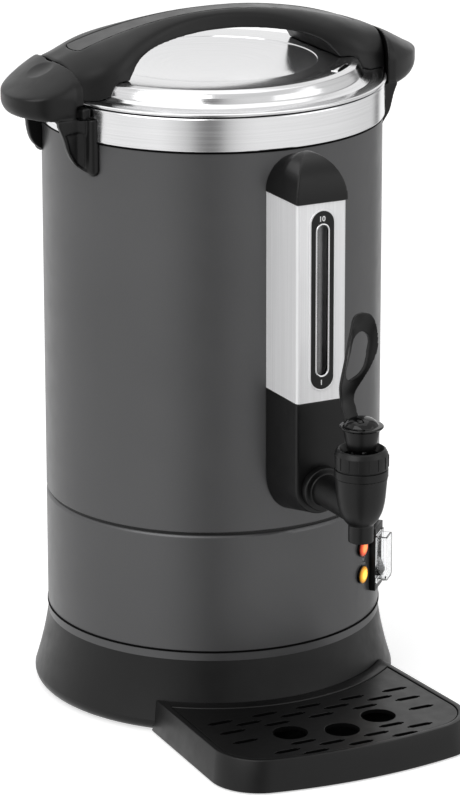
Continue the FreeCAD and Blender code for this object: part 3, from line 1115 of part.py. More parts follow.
def grip_form(inset):
    """The grip from its sole over a rounded toe and an upright side to its domed top. The inner
    form, with an inset, runs straight down through the sole."""
    crest = arch_crest(HANDLE_IN_R) - inset
    sole = GRIP_SOLE_Z - (40 if inset else 0)
    wires = []

    def low(turn):
        up = GRIP_TOE_H * (1 - math.sin(math.radians(turn)))
        return lambda x: sole + GRIP_SOLE_RISE * (x - HANDLE_IN_R) + up

    def high(turn):
        rise = math.sin(math.radians(turn))
        return lambda x: GRIP_SHOULDER_Z + rise * (crest - GRIP_FALL * (x - HANDLE_IN_R) - GRIP_SHOULDER_Z)

    for turn in (90, 60, 30, 0):
        toe = 0 if inset else GRIP_TOE_IN * (1 - math.cos(math.radians(turn)))
        if turn in (90, 0) or not inset:
            wires.append(grip_wire(inset + toe, 1, low(turn)))
    foot = Part.makeLoft(wires, True, False)
    wall = Part.makeLoft([wires[-1], grip_wire(inset, 1, high(0))], True, True)
    shares = [GRIP_FLAT + (1 - GRIP_FLAT) * math.cos(math.radians(turn)) for turn in range(0, 91, 15)]
    wires = [grip_wire(inset, share, high(15 * i)) for i, share in enumerate(shares)]
    dome = Part.makeLoft(wires, True, False)
    return foot.fuse(wall).fuse(dome)


def handle_screw_angles():
    return (-HANDLE_SCREW_DEG, HANDLE_SCREW_DEG, 180 - HANDLE_SCREW_DEG, 180 + HANDLE_SCREW_DEG)


def grip_prism(inset):
    """An upright prism on the grip's plan, tall enough for the plates."""
    plan = Part.Face(grip_wire(inset, 1, lambda x: RIB_BOTTOM - 5))
    return plan.extrude(V(0, 0, SEAT_STEP_Z - RIB_BOTTOM + 10))


def plate_on(side, outline, outside, inside):
    """A plate of the given side view that follows the grip's plan between two insets."""
    slab = face(outline, xz).extrude(V(0, side * (GRIP_HALF + GRIP_LEAN), 0))
    return slab.common(grip_prism(outside)).cut(grip_prism(inside))


def plate_outline(edge):
    low_x, low_z = edge[-1]
    top = GRIP_SOLE_Z + 4
    return [(GRIP_FOOT_X, low_z - 3), (low_x - PLATE_TAIL, low_z - 3), edge[-1],
            [*reversed(edge[1:-1]), edge[0]],
            (edge[0][0], top), (GRIP_FOOT_X, top)]


def ribbed_side(handle, side, edge):
    """A plate and the half-round rib beside it."""
    x = BODY_R * math.cos(math.radians(RIB_DEG))
    y = side * BODY_R * math.sin(math.radians(RIB_DEG))
    bar = disc(RIB_R, RIB_BOTTOM + RIB_R, SEAT_STEP_Z, x, y)
    bar = bar.fuse(Part.makeSphere(RIB_R, V(x, y, RIB_BOTTOM + RIB_R)))
    plate = plate_on(side, plate_outline(edge), -PLATE_PROUD, PLATE_WALL - PLATE_PROUD)
    far = (BODY_R + RIB_R) * math.sin(math.radians(RIB_DEG))
    return handle.fuse(plate).fuse(bar).fuse(seat_cheek(side, far))


def recess_panel(handle):
    """The sunk panel of the deep plate, between its rib and its edge."""
    left = BODY_R * math.cos(math.radians(RIB_DEG)) + RIB_R + 0.6
    top = DEEP_EDGE[1][1]
    edge = [(x - PANEL_EDGE, z) for x, z in DEEP_EDGE[1:-1]]
    outline = [(left, DEEP_EDGE[-1][1] + 2), (left, top - 4), ((left + 1.2, top - 1.2), (left + 4, top)),
               edge[0], edge[1:]]
    return handle.cut(plate_on(1, outline, -PLATE_PROUD - 1, PANEL_DEEP - PLATE_PROUD))


def seat_cheek(side, far):
    """The shelf that closes the grip's sole beside the body, out to far."""
    corners = [(GRIP_FOOT_X, 30), (GRIP_TURN, 36), (GRIP_TURN - 4, GRIP_HALF), (GRIP_TURN - 7.8, far),
               (GRIP_FOOT_X, far)]
    shelf = face([(x, side * y) for x, y in corners], xy)
    return moved(shelf.extrude(V(0, 0, SEAT_STEP_Z - CHEEK_Z)), z=CHEEK_Z)


def side_handle(other_ribbed):
    """The right handle. The side away from the pocket is ribbed too, or has the shallow plate."""
    handle = grip_form(0)
    hollow = grip_form(GRIP_WALL)
    hollow = hollow.cut(disc(HANDLE_IN_R + GRIP_WALL, SEAT_STEP_Z - 6, ARCH_TOP))
    handle = recess_panel(ribbed_side(handle.cut(hollow), 1, DEEP_EDGE))
    if other_ribbed:
        handle = ribbed_side(handle, -1, FAR_EDGE)
    else:
        plate = plate_on(-1, plate_outline(SHALLOW_EDGE), -PLATE_PROUD, PLATE_WALL - PLATE_PROUD)
        handle = handle.fuse(plate).fuse(seat_cheek(-1, GRIP_HALF + PLATE_PROUD))
    handle = handle.cut(disc(BODY_R + SEAT, 0, BAND_BOTTOM))
    handle = handle.cut(disc(BAND_R + 0.1, BAND_BOTTOM - GAP, SEAT_STEP_Z))
    handle = handle.cut(disc(HANDLE_IN_R, SEAT_STEP_Z - 0.01, ARCH_TOP))
    pocket = ring(LEG_R + TAB_REACH + 0.9, HANDLE_IN_R - 2, SEAT_STEP_Z, LEG_SKIRT_BOTTOM + TAB_H + 1)
    handle = handle.cut(pocket.common(wedge(TAB_FROM_DEG - 3, 40)))
    slope = math.atan(GRIP_FALL)
    depth = THUMB_R - THUMB_DEPTH
    thumb_z = arch_crest(HANDLE_IN_R) - GRIP_FALL * (THUMB_X - HANDLE_IN_R)
    ball_centre = V(THUMB_X + depth * math.sin(slope), THUMB_Y, thumb_z + depth * math.cos(slope))
    ball = Part.makeSphere(THUMB_R, ball_centre)
    handle = handle.cut(ball)
    hole = rod_x(HANDLE_SCREW_R + SEAT, GRIP_FOOT_X, BODY_R + HANDLE_SCREW_BITE + 0.4, 0, HANDLE_SCREW_Z)
    return handle.cut(turned(hole, HANDLE_SCREW_DEG)).cut(turned(hole, -HANDLE_SCREW_DEG))


def make_side_handles():
    pieces["side_handle_right"] = side_handle(False)
    pieces["side_handle_left"] = turned(side_handle(True), 180)
    inside = BODY_R - SHEET - SCREW_HEAD_H - SEAT
    screw = rod_x(HANDLE_SCREW_R, inside, BODY_R + HANDLE_SCREW_BITE, 0, HANDLE_SCREW_Z)
    screw = screw.fuse(rod_x(SCREW_HEAD_R, inside, BODY_R - SHEET - 0.1, 0, HANDLE_SCREW_Z))
    pieces["handle_screws"] = Part.makeCompound([turned(screw, angle) for angle in handle_screw_angles()])


# Drip tray with tongues into the skirt, and its slotted grille
def tray_plan(inset, z):
    """The tray's outline at height z, moved inwards by inset."""
    out = TRAY_DRAFT * (TRAY_TOP - z) / (TRAY_TOP - TRAY_BOTTOM)
    half = TRAY_HALF - TRAY_DRAFT + out - inset
    rear = TRAY_REAR_HALF - TRAY_DRAFT + out - inset
    front = TRAY_FRONT - TRAY_DRAFT + out - inset
    c = TRAY_CORNER - inset
    bow = TRAY_BOW_R - inset
    across = half - c
    drop = math.sqrt((bow - c) ** 2 - across ** 2)
    centre_y = -front + bow - drop
    touch = (across * bow / (bow - c), -front + bow - drop * bow / (bow - c))
    turn = math.atan2(drop, across) / 2
    middle = (across + c * math.cos(turn), centre_y - c * math.sin(turn))
    points = [(-rear, TRAY_BACK_Y), (-half, centre_y), ((-middle[0], middle[1]), (-touch[0], touch[1])),
              ((0, -front), touch), ((middle[0], middle[1]), (half, centre_y)), (rear, TRAY_BACK_Y)]
    return face(points, lambda x, y: V(x, y, z))


def make_tray():
    low, middle, top = skirt_side(GAP)
    skirt = spin([(0, 0), (low[0] - 1, 0), low, (middle, top), (0, top[1])])
    wires = [tray_plan(0, z).OuterWire for z in (TRAY_BOTTOM, TRAY_TOP)]
    tray = Part.makeLoft(wires, True, True).cut(skirt)
    seat_z = TRAY_TOP - GRILLE_SUNK - GRILLE_T
    back_r = SKIRT_R + TRAY_BACK_RIM
    rebate = tray_plan(TRAY_RIM, TRAY_TOP).extrude(V(0, 0, -GRILLE_T - GRILLE_SUNK))
    rebate = rebate.fuse(tray_plan(TRAY_RIM, TRAY_TOP).extrude(V(0, 0, 1))).cut(disc(back_r, 0, TRAY_TOP + 2))
    basin = tray_plan(TRAY_RIM + LEDGE_IN, TRAY_TOP).extrude(V(0, 0, TRAY_BOTTOM + TRAY_FLOOR - TRAY_TOP))
    basin = basin.cut(disc(back_r + LEDGE_IN, 0, TRAY_TOP + 1))
    tray = tray.cut(rebate).cut(basin)
    for side in (-1, 1):
        x = (side * TONGUE_X - TONGUE_W / 2, side * TONGUE_X + TONGUE_W / 2)
        reach = SKIRT_R * math.cos(math.asin(TONGUE_X / SKIRT_R)) - TONGUE_REACH
        tray = tray.fuse(block(x, (-reach - 18, -reach), (TONGUE_Z, TONGUE_Z + TONGUE_T)))
    pieces["drip_tray"] = tray

    plan = tray_plan(TRAY_RIM + GRILLE_AIR, TRAY_TOP)
    grille = moved(plan.extrude(V(0, 0, GRILLE_T - SEAT)), z=seat_z + SEAT - TRAY_TOP)
    grille = grille.cut(disc(back_r + GRILLE_AIR, 0, TRAY_TOP + 1))
    cuts = []
    for x, y in [(-CUP_HOLE_X, CUP_HOLE_Y), (0, CUP_HOLE_MID_Y), (CUP_HOLE_X, CUP_HOLE_Y)]:
        cuts.append(disc(CUP_HOLE_R, seat_z - 1, TRAY_TOP + 1, x, y))
    for x, y in slot_spots():
        h = (SLOT_L - SLOT_W) / 2
        r = SLOT_W / 2
        slot = face([(x - h, y - r), (x + h, y - r), ((x + h + r, y), (x + h, y + r)), (x - h, y + r),
                     ((x - h - r, y), (x - h, y - r))], xy)
        cuts.append(moved(slot.extrude(V(0, 0, 10)), z=seat_z - 2))
    pieces["drip_grille"] = grille.cut(Part.makeCompound(cuts))


def slot_spots():
    """Centres of the grille's slots: rows set off by half a pitch, clear of the three cup holes."""
    spots = []
    for row in range(SLOT_ROWS):
        for column in range(-4, 5):
            if (row + column) % 2:
                continue
            if abs(column) == 4 and row not in (0, 2, 4):
                continue
            if row == 7 and abs(column) > 3 or row == 8 and abs(column) > 2:
                continue
            x, y = column * SLOT_PITCH_X, SLOT_FIRST_Y - row * SLOT_PITCH_Y
            holes = [(-CUP_HOLE_X, CUP_HOLE_Y), (0, CUP_HOLE_MID_Y), (CUP_HOLE_X, CUP_HOLE_Y)]
            reach = CUP_HOLE_R + SLOT_L / 2 + 1
            near = [abs(y - b) < CUP_HOLE_R + SLOT_W and abs(x - a) < reach for a, b in holes]
            if not any(near):
                spots.append((x, y))
    return spots


make_base()
make_shells()
make_vessel()
make_controls()
make_column()
make_tap()
make_lid()
make_side_handles()
make_tray()

os.makedirs("parts", exist_ok=True)
for node, shape in pieces.items():
    moved(shape, y=AXIS_Y).exportStep("parts/" + node + ".step")
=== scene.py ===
import json
import math

import bmesh
import bpy
from mathutils import Matrix, Vector


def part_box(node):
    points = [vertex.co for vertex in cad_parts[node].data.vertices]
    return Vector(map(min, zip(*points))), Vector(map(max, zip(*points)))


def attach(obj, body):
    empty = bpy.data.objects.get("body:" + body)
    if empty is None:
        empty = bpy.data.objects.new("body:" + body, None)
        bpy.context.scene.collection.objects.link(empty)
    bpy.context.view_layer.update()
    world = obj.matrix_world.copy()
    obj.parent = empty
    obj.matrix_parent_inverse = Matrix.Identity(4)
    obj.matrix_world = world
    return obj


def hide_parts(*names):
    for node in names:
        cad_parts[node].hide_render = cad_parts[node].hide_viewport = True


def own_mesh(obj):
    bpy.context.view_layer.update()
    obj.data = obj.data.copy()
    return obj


# A double-walled coffee urn: painted body, steel lid under an arched handle, lever tap, level
# gauge and drip tray. Pieces are laid out in millimetres about the urn's own axis, with the tap
# towards -Y, and are put in metres in the part's frame when their mesh is made.

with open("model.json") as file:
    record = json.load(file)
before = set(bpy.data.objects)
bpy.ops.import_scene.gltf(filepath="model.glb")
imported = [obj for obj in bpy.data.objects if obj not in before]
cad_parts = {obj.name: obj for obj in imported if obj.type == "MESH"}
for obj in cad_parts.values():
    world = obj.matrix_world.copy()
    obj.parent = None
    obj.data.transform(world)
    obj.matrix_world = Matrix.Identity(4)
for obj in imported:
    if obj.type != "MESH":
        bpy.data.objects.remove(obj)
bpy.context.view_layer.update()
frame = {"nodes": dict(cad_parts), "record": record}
NODES = frame["nodes"]

MM = 0.001
AXIS_Y = sum(corner.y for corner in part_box("upper_shell")) / 2


def span(node):
    """A solid's lowest and highest corners, in millimetres about the urn's axis."""
    return [Vector((c.x, c.y - AXIS_Y, c.z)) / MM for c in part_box(node)]


def placed(point):
    """A point given in millimetres about the urn's axis, in metres in the part's frame."""
    return Vector(point) * MM + Vector((0, AXIS_Y, 0))


def in_scene(name, data):
    """A new object that carries this data, linked into the scene."""
    made = bpy.data.objects.new(name, data)
    bpy.context.scene.collection.objects.link(made)
    return made


def feed(tree, socket, value):
    """Sets a socket to a plain value, or links it to the socket that gives one."""
    if isinstance(value, bpy.types.NodeSocket):
        tree.links.new(value, socket)
    else:
        socket.default_value = value


# Camera, as the photograph was taken: sizes in its pixels, place in millimetres
PHOTO_H = 800
FOCAL_PX = 4200.75
SENSOR_MM = 36
FAR_CLIP_M = 100
EYE = (-1300.7, -2569.6, 1104.6)
AROUND_DEG = 26.8475
YAW_DEG = 0.2481
DOWN_DEG = 17.3118
ROLL_DEG = -0.0796


def make_camera():
    around, yaw, down = (math.radians(a) for a in (AROUND_DEG, YAW_DEG, DOWN_DEG))
    right = Vector((math.cos(around), -math.sin(around), 0))
    ahead = Vector((math.sin(around), math.cos(around), 0))
    level = right * math.sin(yaw) + ahead * math.cos(yaw)
    look = level * math.cos(down) - Vector((0, 0, math.sin(down)))
    data = bpy.data.cameras.new("photo_camera")
    data.sensor_width = SENSOR_MM
    data.lens = FOCAL_PX * SENSOR_MM / PHOTO_H
    data.clip_end = FAR_CLIP_M
    camera = in_scene("photo_camera", data)
    roll = Matrix.Rotation(math.radians(ROLL_DEG), 3, "Z")
    turn = look.to_track_quat("-Z", "Y").to_matrix() @ roll
    camera.matrix_world = Matrix.Translation(placed(EYE)) @ turn.to_4x4()
    bpy.context.scene.camera = camera


make_camera()
bpy.context.scene.view_settings.view_transform = "Standard"


class Finish:
    """A material under construction: its nodes, the links between them and its shader."""

    def __init__(self, name, colour, rough, metal=0.0, level=0.5):
        self.material = bpy.data.materials.new(name)
        self.material.use_nodes = True
        self.tree = self.material.node_tree
        self.shader = self.tree.nodes["Principled BSDF"]
        self.set("Base Color", (*colour, 1))
        self.set("Roughness", rough)
        self.set("Metallic", metal)
        self.set("Specular IOR Level", level)
        self.place = self.node("ShaderNodeTexCoord").outputs["Object"]

    def node(self, kind, **settings):
        made = self.tree.nodes.new(kind)
        for key, value in settings.items():
            setattr(made, key, value)
        return made

    def link(self, source, target):
        self.tree.links.new(source, target)

    def set(self, socket, value):
        self.shader.inputs[socket].default_value = value

    def wire(self, socket, source):
        self.link(source, self.shader.inputs[socket])

    def maths(self, operation, *values):
        made = self.node("ShaderNodeMath", operation=operation)
        for i, value in enumerate(values):
            feed(self.tree, made.inputs[i], value)
        return made.outputs[0]

    def noise(self, scale, detail, where=None):
        """Noise over the object's own space, or over another vector."""
        made = self.node("ShaderNodeTexNoise")
        made.inputs["Scale"].default_value = scale
        made.inputs["Detail"].default_value = detail
        self.link(where or self.place, made.inputs["Vector"])
        return made.outputs["Fac"]

    def stretched(self, x, y, z):
        """The object's own space, scaled along each axis."""
        made = self.node("ShaderNodeMapping")
        made.inputs["Scale"].default_value = (x, y, z)
        self.link(self.place, made.inputs["Vector"])
        return made.outputs[0]

    def ramp(self, source, stops):
        """A grey or a colour over a value, from stops of a position and the grey or colour there."""
        made = self.node("ShaderNodeValToRGB")
        while len(made.color_ramp.elements) < len(stops):
            made.color_ramp.elements.new(0.5)
        for element, (position, value) in zip(made.color_ramp.elements, stops):
            element.position = position
            element.color = (*value, 1) if isinstance(value, tuple) else (value, value, value, 1)
        self.link(source, made.inputs[0])
        return made.outputs[0]

    def bump(self, height, depth_mm, strength):
        made = self.node("ShaderNodeBump")
        made.inputs["Distance"].default_value = depth_mm * MM
        made.inputs["Strength"].default_value = strength
        self.link(height, made.inputs["Height"])
        self.wire("Normal", made.outputs[0])

    def vary(self, colour, spread, source):
        """Base colour that runs a little darker and lighter with the source."""
        low = tuple(c * (1 - spread) for c in colour)
        high = tuple(c * (1 + spread) for c in colour)
        self.wire("Base Color", self.ramp(source, [(0.3, low), (0.7, high)]))


def moulded_plastic(name, grey, rough, grain_mm=0.02, level=0.4):
    """Injection-moulded plastic with a fine spark-eroded grain and faint flow in its colour."""
    colour = (grey, grey, grey * 1.02)
    made = Finish(name, colour, rough, level=level)
    made.vary(colour, 0.18, made.noise(26, 3))
    worn = made.noise(90, 4)
    made.wire("Roughness", made.ramp(worn, [(0.3, rough - 0.05), (0.75, rough + 0.06)]))
    made.bump(made.noise(1900, 2), grain_mm, 0.6)
    return made.material


def painted_metal(name, colour):
    """Satin metallic paint: fine flake, a slow drift of tone and a trace of orange peel."""
    made = Finish(name, colour, 0.36, metal=0.55)
    flake = made.maths("MULTIPLY", made.noise(2400, 1), 0.5)
    drift = made.maths("MULTIPLY", made.noise(9, 2), 0.5)
    mixed = made.maths("ADD", flake, drift)
    made.vary(colour, 0.10, mixed)
    made.wire("Roughness", made.ramp(made.noise(60, 3), [(0.3, 0.31), (0.7, 0.37)]))
    made.bump(made.noise(520, 2), 0.012, 0.5)
    return made.material


# Hair lines of steel: how fast they change across their run, along it, and round the axis
HAIR_ACROSS, HAIR_ALONG, HAIR_ROUND = 900, 6, 1.2


def turned_steel(name, grey, rough):
    """Steel polished on a lathe: hair lines run round the urn's axis."""
    made = Finish(name, (grey, grey, grey * 1.01), rough, metal=1.0)
    centred = made.node("ShaderNodeVectorMath", operation="SUBTRACT")
    made.link(made.place, centred.inputs[0])
    centred.inputs[1].default_value = (0, AXIS_Y, 0)
    parts = made.node("ShaderNodeSeparateXYZ")
    made.link(centred.outputs[0], parts.inputs[0])
    across = made.maths("MULTIPLY", parts.outputs[0], parts.outputs[0])
    along = made.maths("MULTIPLY", parts.outputs[1], parts.outputs[1])
    radius = made.maths("SQRT", made.maths("ADD", across, along))
    angle = made.maths("ARCTAN2", parts.outputs[1], parts.outputs[0])
    rings = made.node("ShaderNodeCombineXYZ")
    made.link(made.maths("MULTIPLY", radius, HAIR_ACROSS), rings.inputs[0])
    made.link(made.maths("MULTIPLY", angle, HAIR_ROUND), rings.inputs[1])
    made.link(made.maths("MULTIPLY", parts.outputs[2], HAIR_ACROSS), rings.inputs[2])
    lines = made.noise(1.0, 3, rings.outputs[0])
    made.wire("Roughness", made.ramp(lines, [(0.3, rough - 0.03), (0.7, rough + 0.05)]))
    made.vary((grey, grey, grey * 1.01), 0.04, lines)
    made.bump(lines, 0.004, 0.3)
    return made.material


def drawn_steel(name, grey, rough, along="z", metal=1.0):
    """Sheet steel with straight hair lines along one direction."""
    made = Finish(name, (grey, grey, grey * 1.01), rough, metal=metal)
    scale = [HAIR_ALONG if axis == along else HAIR_ACROSS for axis in "xyz"]
    lines = made.noise(1.0, 3, made.stretched(*scale))
    made.wire("Roughness", made.ramp(lines, [(0.3, rough - 0.04), (0.7, rough + 0.06)]))
    made.vary((grey, grey, grey * 1.01), 0.05, lines)
    made.bump(lines, 0.004, 0.3)
    return made.material


def clear_plastic(name, rough, ior):
    """Clear mouldings with a faint blue tint and light handling haze."""
    made = Finish(name, (0.97, 0.975, 0.98), rough)
    made.set("IOR", ior)
    made.set("Transmission Weight", 1.0)
    made.wire("Roughness", made.ramp(made.noise(140, 3), [(0.35, rough), (0.8, rough + 0.05)]))
    made.bump(made.noise(420, 2), 0.01, 0.2)
    return made.material


def frosted_tube(name):
    """The gauge tube: milky plastic, greyed by what stands behind it."""
    colour = (0.34, 0.34, 0.345)
    made = Finish(name, colour, 0.28, level=0.4)
    made.vary(colour, 0.12, made.noise(1.0, 3, made.stretched(500, 500, 30)))
    made.wire("Roughness", made.ramp(made.noise(160, 3), [(0.3, 0.22), (0.7, 0.36)]))
    return made.material


# Lit lenses: how far the glow reaches from its middle in millimetres, and how strong it is
GLOW_REACH, GLOW_STRENGTH = 6.4, 0.85


def lamp_lens(name, node, deep, bright):
    """A lit lens: bright over its bulb and deeper in colour towards its rim."""
    made = Finish(name, deep, 0.12)
    away = made.node("ShaderNodeVectorMath", operation="DISTANCE")
    made.link(made.place, away.inputs[0])
    away.inputs[1].default_value = placed(sum(span(node), Vector()) / 2)
    near = made.maths("DIVIDE", away.outputs["Value"], GLOW_REACH * MM)
    middle = tuple((a * 2 + b) / 3 for a, b in zip(bright, deep))
    rim = tuple(c * 0.25 for c in deep)
    glow = made.ramp(near, [(0.0, bright), (0.5, middle), (0.72, deep), (1.0, rim)])
    made.wire("Base Color", glow)
    made.wire("Emission Color", glow)
    made.set("Emission Strength", GLOW_STRENGTH)
    made.bump(made.noise(600, 2), 0.03, 0.3)
    return made.material


def printed_ink(name, grey):
    """Matt ink with a faint unevenness."""
    made = Finish(name, (grey, grey, grey), 0.5)
    made.vary((grey, grey, grey), 0.06, made.noise(1500, 2))
    return made.material


def make_finishes():
    """Every finish by the name of its slot, or by the name the pieces call it."""
    return {
        "black_plastic": moulded_plastic("moulded_black", 0.0030, 0.37, level=0.33),
        "gloss_black": moulded_plastic("gloss_black", 0.002, 0.10, 0.003, 0.36),
        "strip": moulded_plastic("grip_strip", 0.008, 0.34, 0.03, 0.5),
        # seam: the finish of a dark joint, also used as painted shade under the band, in the louvre's
        # opening and on the grille's slot walls
        "seam": moulded_plastic("dark_seam_and_painted_shade", 0.002, 0.8, 0.05, 0.05),
        "anthracite": painted_metal("anthracite_paint", (0.098, 0.098, 0.1)),
        "steel": turned_steel("polished_steel", 0.86, 0.15),
        "lid_steel": turned_steel("lid_steel", 0.74, 0.13),
        "cover_steel": drawn_steel("cover_steel", 0.90, 0.34, metal=0.25),
        "plain_steel": drawn_steel("plain_steel", 0.6, 0.32),
        "heater": drawn_steel("cast_aluminium", 0.62, 0.5, "x"),
        "element": drawn_steel("element_sheath", 0.28, 0.45, "x"),
        "terminal": moulded_plastic("ceramic_white", 0.62, 0.35),
        "rubber": moulded_plastic("black_rubber", 0.006, 0.75, 0.05, 0.2),
        "clear": clear_plastic("clear_cover", 0.03, 1.49),
        "tube": frosted_tube("gauge_tube"),
        "white_ink": printed_ink("white_ink", 0.85),
        "dark_ink": printed_ink("dark_ink", 0.012),
        "lamp_amber": lamp_lens("amber_lens", "lamp_lens_low", (0.80, 0.34, 0.01), (1.0, 0.92, 0.12)),
        "lamp_red": lamp_lens("red_lens", "lamp_lens_high", (0.70, 0.06, 0.01), (1.0, 0.40, 0.10)),
    }


FINISH = make_finishes()
SLOT_OF = {part["node"]: part["material_slot"] for part in frame["record"]["subparts"]}


def dress_solids():
    """Every solid in its slot's finish, but for two that have a finish of their own."""
    own = {"column_steel_cover": "cover_steel", "sight_tube": "tube"}
    for name, node in NODES.items():
        for slot in node.material_slots:
            slot.material = FINISH[own.get(name, SLOT_OF[name])]


dress_solids()


# Making of pieces: side views and plans in millimetres, turned, swept or worked into meshes
CORNER_STEPS = 5
# The most of a side that one corner may take
CORNER_SHARE = 0.49
# Corners at or inside this radius lie on the axis
ON_AXIS = 1e-6
LATHE_STEPS = 320
# Vertices of a solid nearer than this many metres are one, and faces this near to level are joined
WELD_M, LEVEL_DEG = 2e-6, 0.6
# Edges sharper than this are rounded over
EASE_DEG, EASE_SEGMENTS = 32.0, 3
# Crease angle of a piece that is shaded smooth all over, and of one that has no angle of its own
SMOOTH_DEG, CREASE_DEG = 180, 38.0
BEAD_SIDES = 12
RACETRACK_STEPS = 14


def filleted(points):
    """A closed outline whose corners are rounded wherever a point carries a radius."""
    path = []
    for i, point in enumerate(points):
        here = Vector(point[:2])
        radius = point[2] if len(point) > 2 else 0
        if not radius:
            path.append(here)
            continue
        back = Vector(points[i - 1][:2]) - here
        ahead = Vector(points[(i + 1) % len(points)][:2]) - here
        most = min(back.length, ahead.length) * CORNER_SHARE
        reach = min(radius / math.tan(back.angle(ahead) / 2), most)
        start = here + back.normalized() * reach
        stop = here + ahead.normalized() * reach
        for k in range(CORNER_STEPS + 1):
            t = k / CORNER_STEPS
            path.append(start * (1 - t) ** 2 + here * 2 * t * (1 - t) + stop * t ** 2)
    return path


def lathe(profile, y=0.0, steps=LATHE_STEPS):
    """A closed side view turned about an upright axis. A point on the axis becomes one vertex."""
    made = bmesh.new()
    angles = [2 * math.pi * i / steps for i in range(steps)]
    columns = []
    for r, z in profile:
        if r < ON_AXIS:
            columns.append([made.verts.new((0, y, z))] * steps)
            continue
        columns.append([made.verts.new((r * math.cos(a), y + r * math.sin(a), z)) for a in angles])
    for first, second in zip(columns, columns[1:] + columns[:1]):
        for i in range(steps):
            j = (i + 1) % steps
            corners = []
            for vertex in (first[i], first[j], second[j], second[i]):
                if vertex not in corners:
                    corners.append(vertex)
            if len(corners) > 2:
                made.faces.new(corners)
    return made


def welded(node):
    """A copy of a solid with its triangles joined up and its flat faces whole again."""
    made = bmesh.new()
    made.from_mesh(NODES[node].data)
    bmesh.ops.remove_doubles(made, verts=made.verts, dist=WELD_M)
    for vertex in made.verts:
        vertex.co = (vertex.co - Vector((0, AXIS_Y, 0))) / MM
    bmesh.ops.dissolve_limit(made, angle_limit=math.radians(LEVEL_DEG), verts=made.verts,
                             edges=made.edges)
    return made


def worked(made, *steps):
    """The mesh after modifiers, each given as its kind and settings."""
    mesh = bpy.data.meshes.new("work")
    made.to_mesh(mesh)
    made.free()
    return baked(mesh, steps)


def evaluated(blank):
    """An object's mesh as its modifiers leave it. The object is removed."""
    graph = bpy.context.evaluated_depsgraph_get()
    result = bpy.data.meshes.new_from_object(blank.evaluated_get(graph))
    made = bmesh.new()
    made.from_mesh(result)
    bpy.data.objects.remove(blank)
    bpy.data.meshes.remove(result)
    return made


def baked(mesh, steps, inputs=None):
    """A mesh after modifiers, with the inputs of a node tree by their identifiers."""
    blank = in_scene("work", mesh)
    for kind, settings in steps:
        modifier = blank.modifiers.new(kind.lower(), kind)
        for key, value in settings.items():
            setattr(modifier, key, value)
        for key, value in (inputs or {}).items():
            modifier[key] = value
    return evaluated(blank)


def eased(made, width, segments=EASE_SEGMENTS):
    """A mesh with its sharp edges rounded over, to a width in millimetres."""
    return worked(made, ("BEVEL", {"width": width, "segments": segments, "limit_method": "ANGLE",
                                   "angle_limit": math.radians(EASE_DEG), "use_clamp_overlap": False,
                                   "miter_outer": "MITER_ARC"}))


def settle(made, name, finish, body, replaced=(), crease_deg=CREASE_DEG):
    """The finished piece: put in metres in the part's frame, faces outwards, shaded, riding a body.

    It is dressed in the finish given."""
    for vertex in made.verts:
        vertex.co = placed(vertex.co)
    bmesh.ops.recalc_face_normals(made, faces=made.faces)
    for part in made.faces:
        part.smooth = True
    for edge in made.edges:
        edge.smooth = edge.calc_face_angle(0.0) < math.radians(crease_deg)
    mesh = bpy.data.meshes.new(name)
    made.to_mesh(mesh)
    made.free()
    mesh.materials.clear()
    mesh.materials.append(FINISH[finish])
    piece = in_scene(name, mesh)
    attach(piece, body)
    if replaced:
        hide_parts(*replaced)
    return piece


def mould(node, name, body, voxel, passes):
    """A black moulding in place of its solid, with every edge softened as a mould leaves it."""
    made = worked(welded(node),
                  ("REMESH", {"mode": "VOXEL", "voxel_size": voxel, "adaptivity": 0.0}),
                  ("SMOOTH", {"factor": 0.5, "iterations": passes}))
    return settle(made, name, "black_plastic", body, [node], SMOOTH_DEG)


class Growth:
    """A geometry node tree that repeats a shape or sweeps one along a path."""

    def __init__(self, name):
        self.tree = bpy.data.node_groups.new(name, "GeometryNodeTree")
        self.tree.interface.new_socket("Geometry", in_out="OUTPUT", socket_type="NodeSocketGeometry")
        self.tree.interface.new_socket("Geometry", in_out="INPUT", socket_type="NodeSocketGeometry")
        self.entry = self.tree.nodes.new("NodeGroupInput")
        self.exit = self.tree.nodes.new("NodeGroupOutput")
        self.values = {}

    def size(self, name, value, kind="NodeSocketFloat"):
        """A named input with its value; gives the socket that carries it."""
        socket = self.tree.interface.new_socket(name, in_out="INPUT", socket_type=kind)
        self.values[socket.identifier] = value
        return self.entry.outputs[name]

    def node(self, kind, links=None, **settings):
        made = self.tree.nodes.new(kind)
        for key, value in settings.items():
            setattr(made, key, value)
        for key, source in (links or {}).items():
            feed(self.tree, made.inputs[key], source)
        return made

    def vector(self, x=0.0, y=0.0, z=0.0):
        return self.node("ShaderNodeCombineXYZ", {"X": x, "Y": y, "Z": z}).outputs[0]

    def maths(self, operation, first, second):
        return self.node("ShaderNodeMath", {0: first, 1: second}, operation=operation).outputs[0]

    def repeat(self, points, shape, **links):
        """One shape set on every point of another."""
        return self.node("GeometryNodeInstanceOnPoints", {"Points": points, "Instance": shape, **links})

    def grow(self, last, finish, mesh=None):
        """Realised, dressed and baked to plain mesh."""
        whole = self.node("GeometryNodeRealizeInstances", {"Geometry": last})
        dressed = self.node("GeometryNodeSetMaterial", {"Geometry": whole.outputs[0],
                                                        "Material": FINISH[finish]})
        self.tree.links.new(dressed.outputs[0], self.exit.inputs[0])
        mesh = mesh or bpy.data.meshes.new("seed")
        return baked(mesh, [("NODES", {"node_group": self.tree})], self.values)


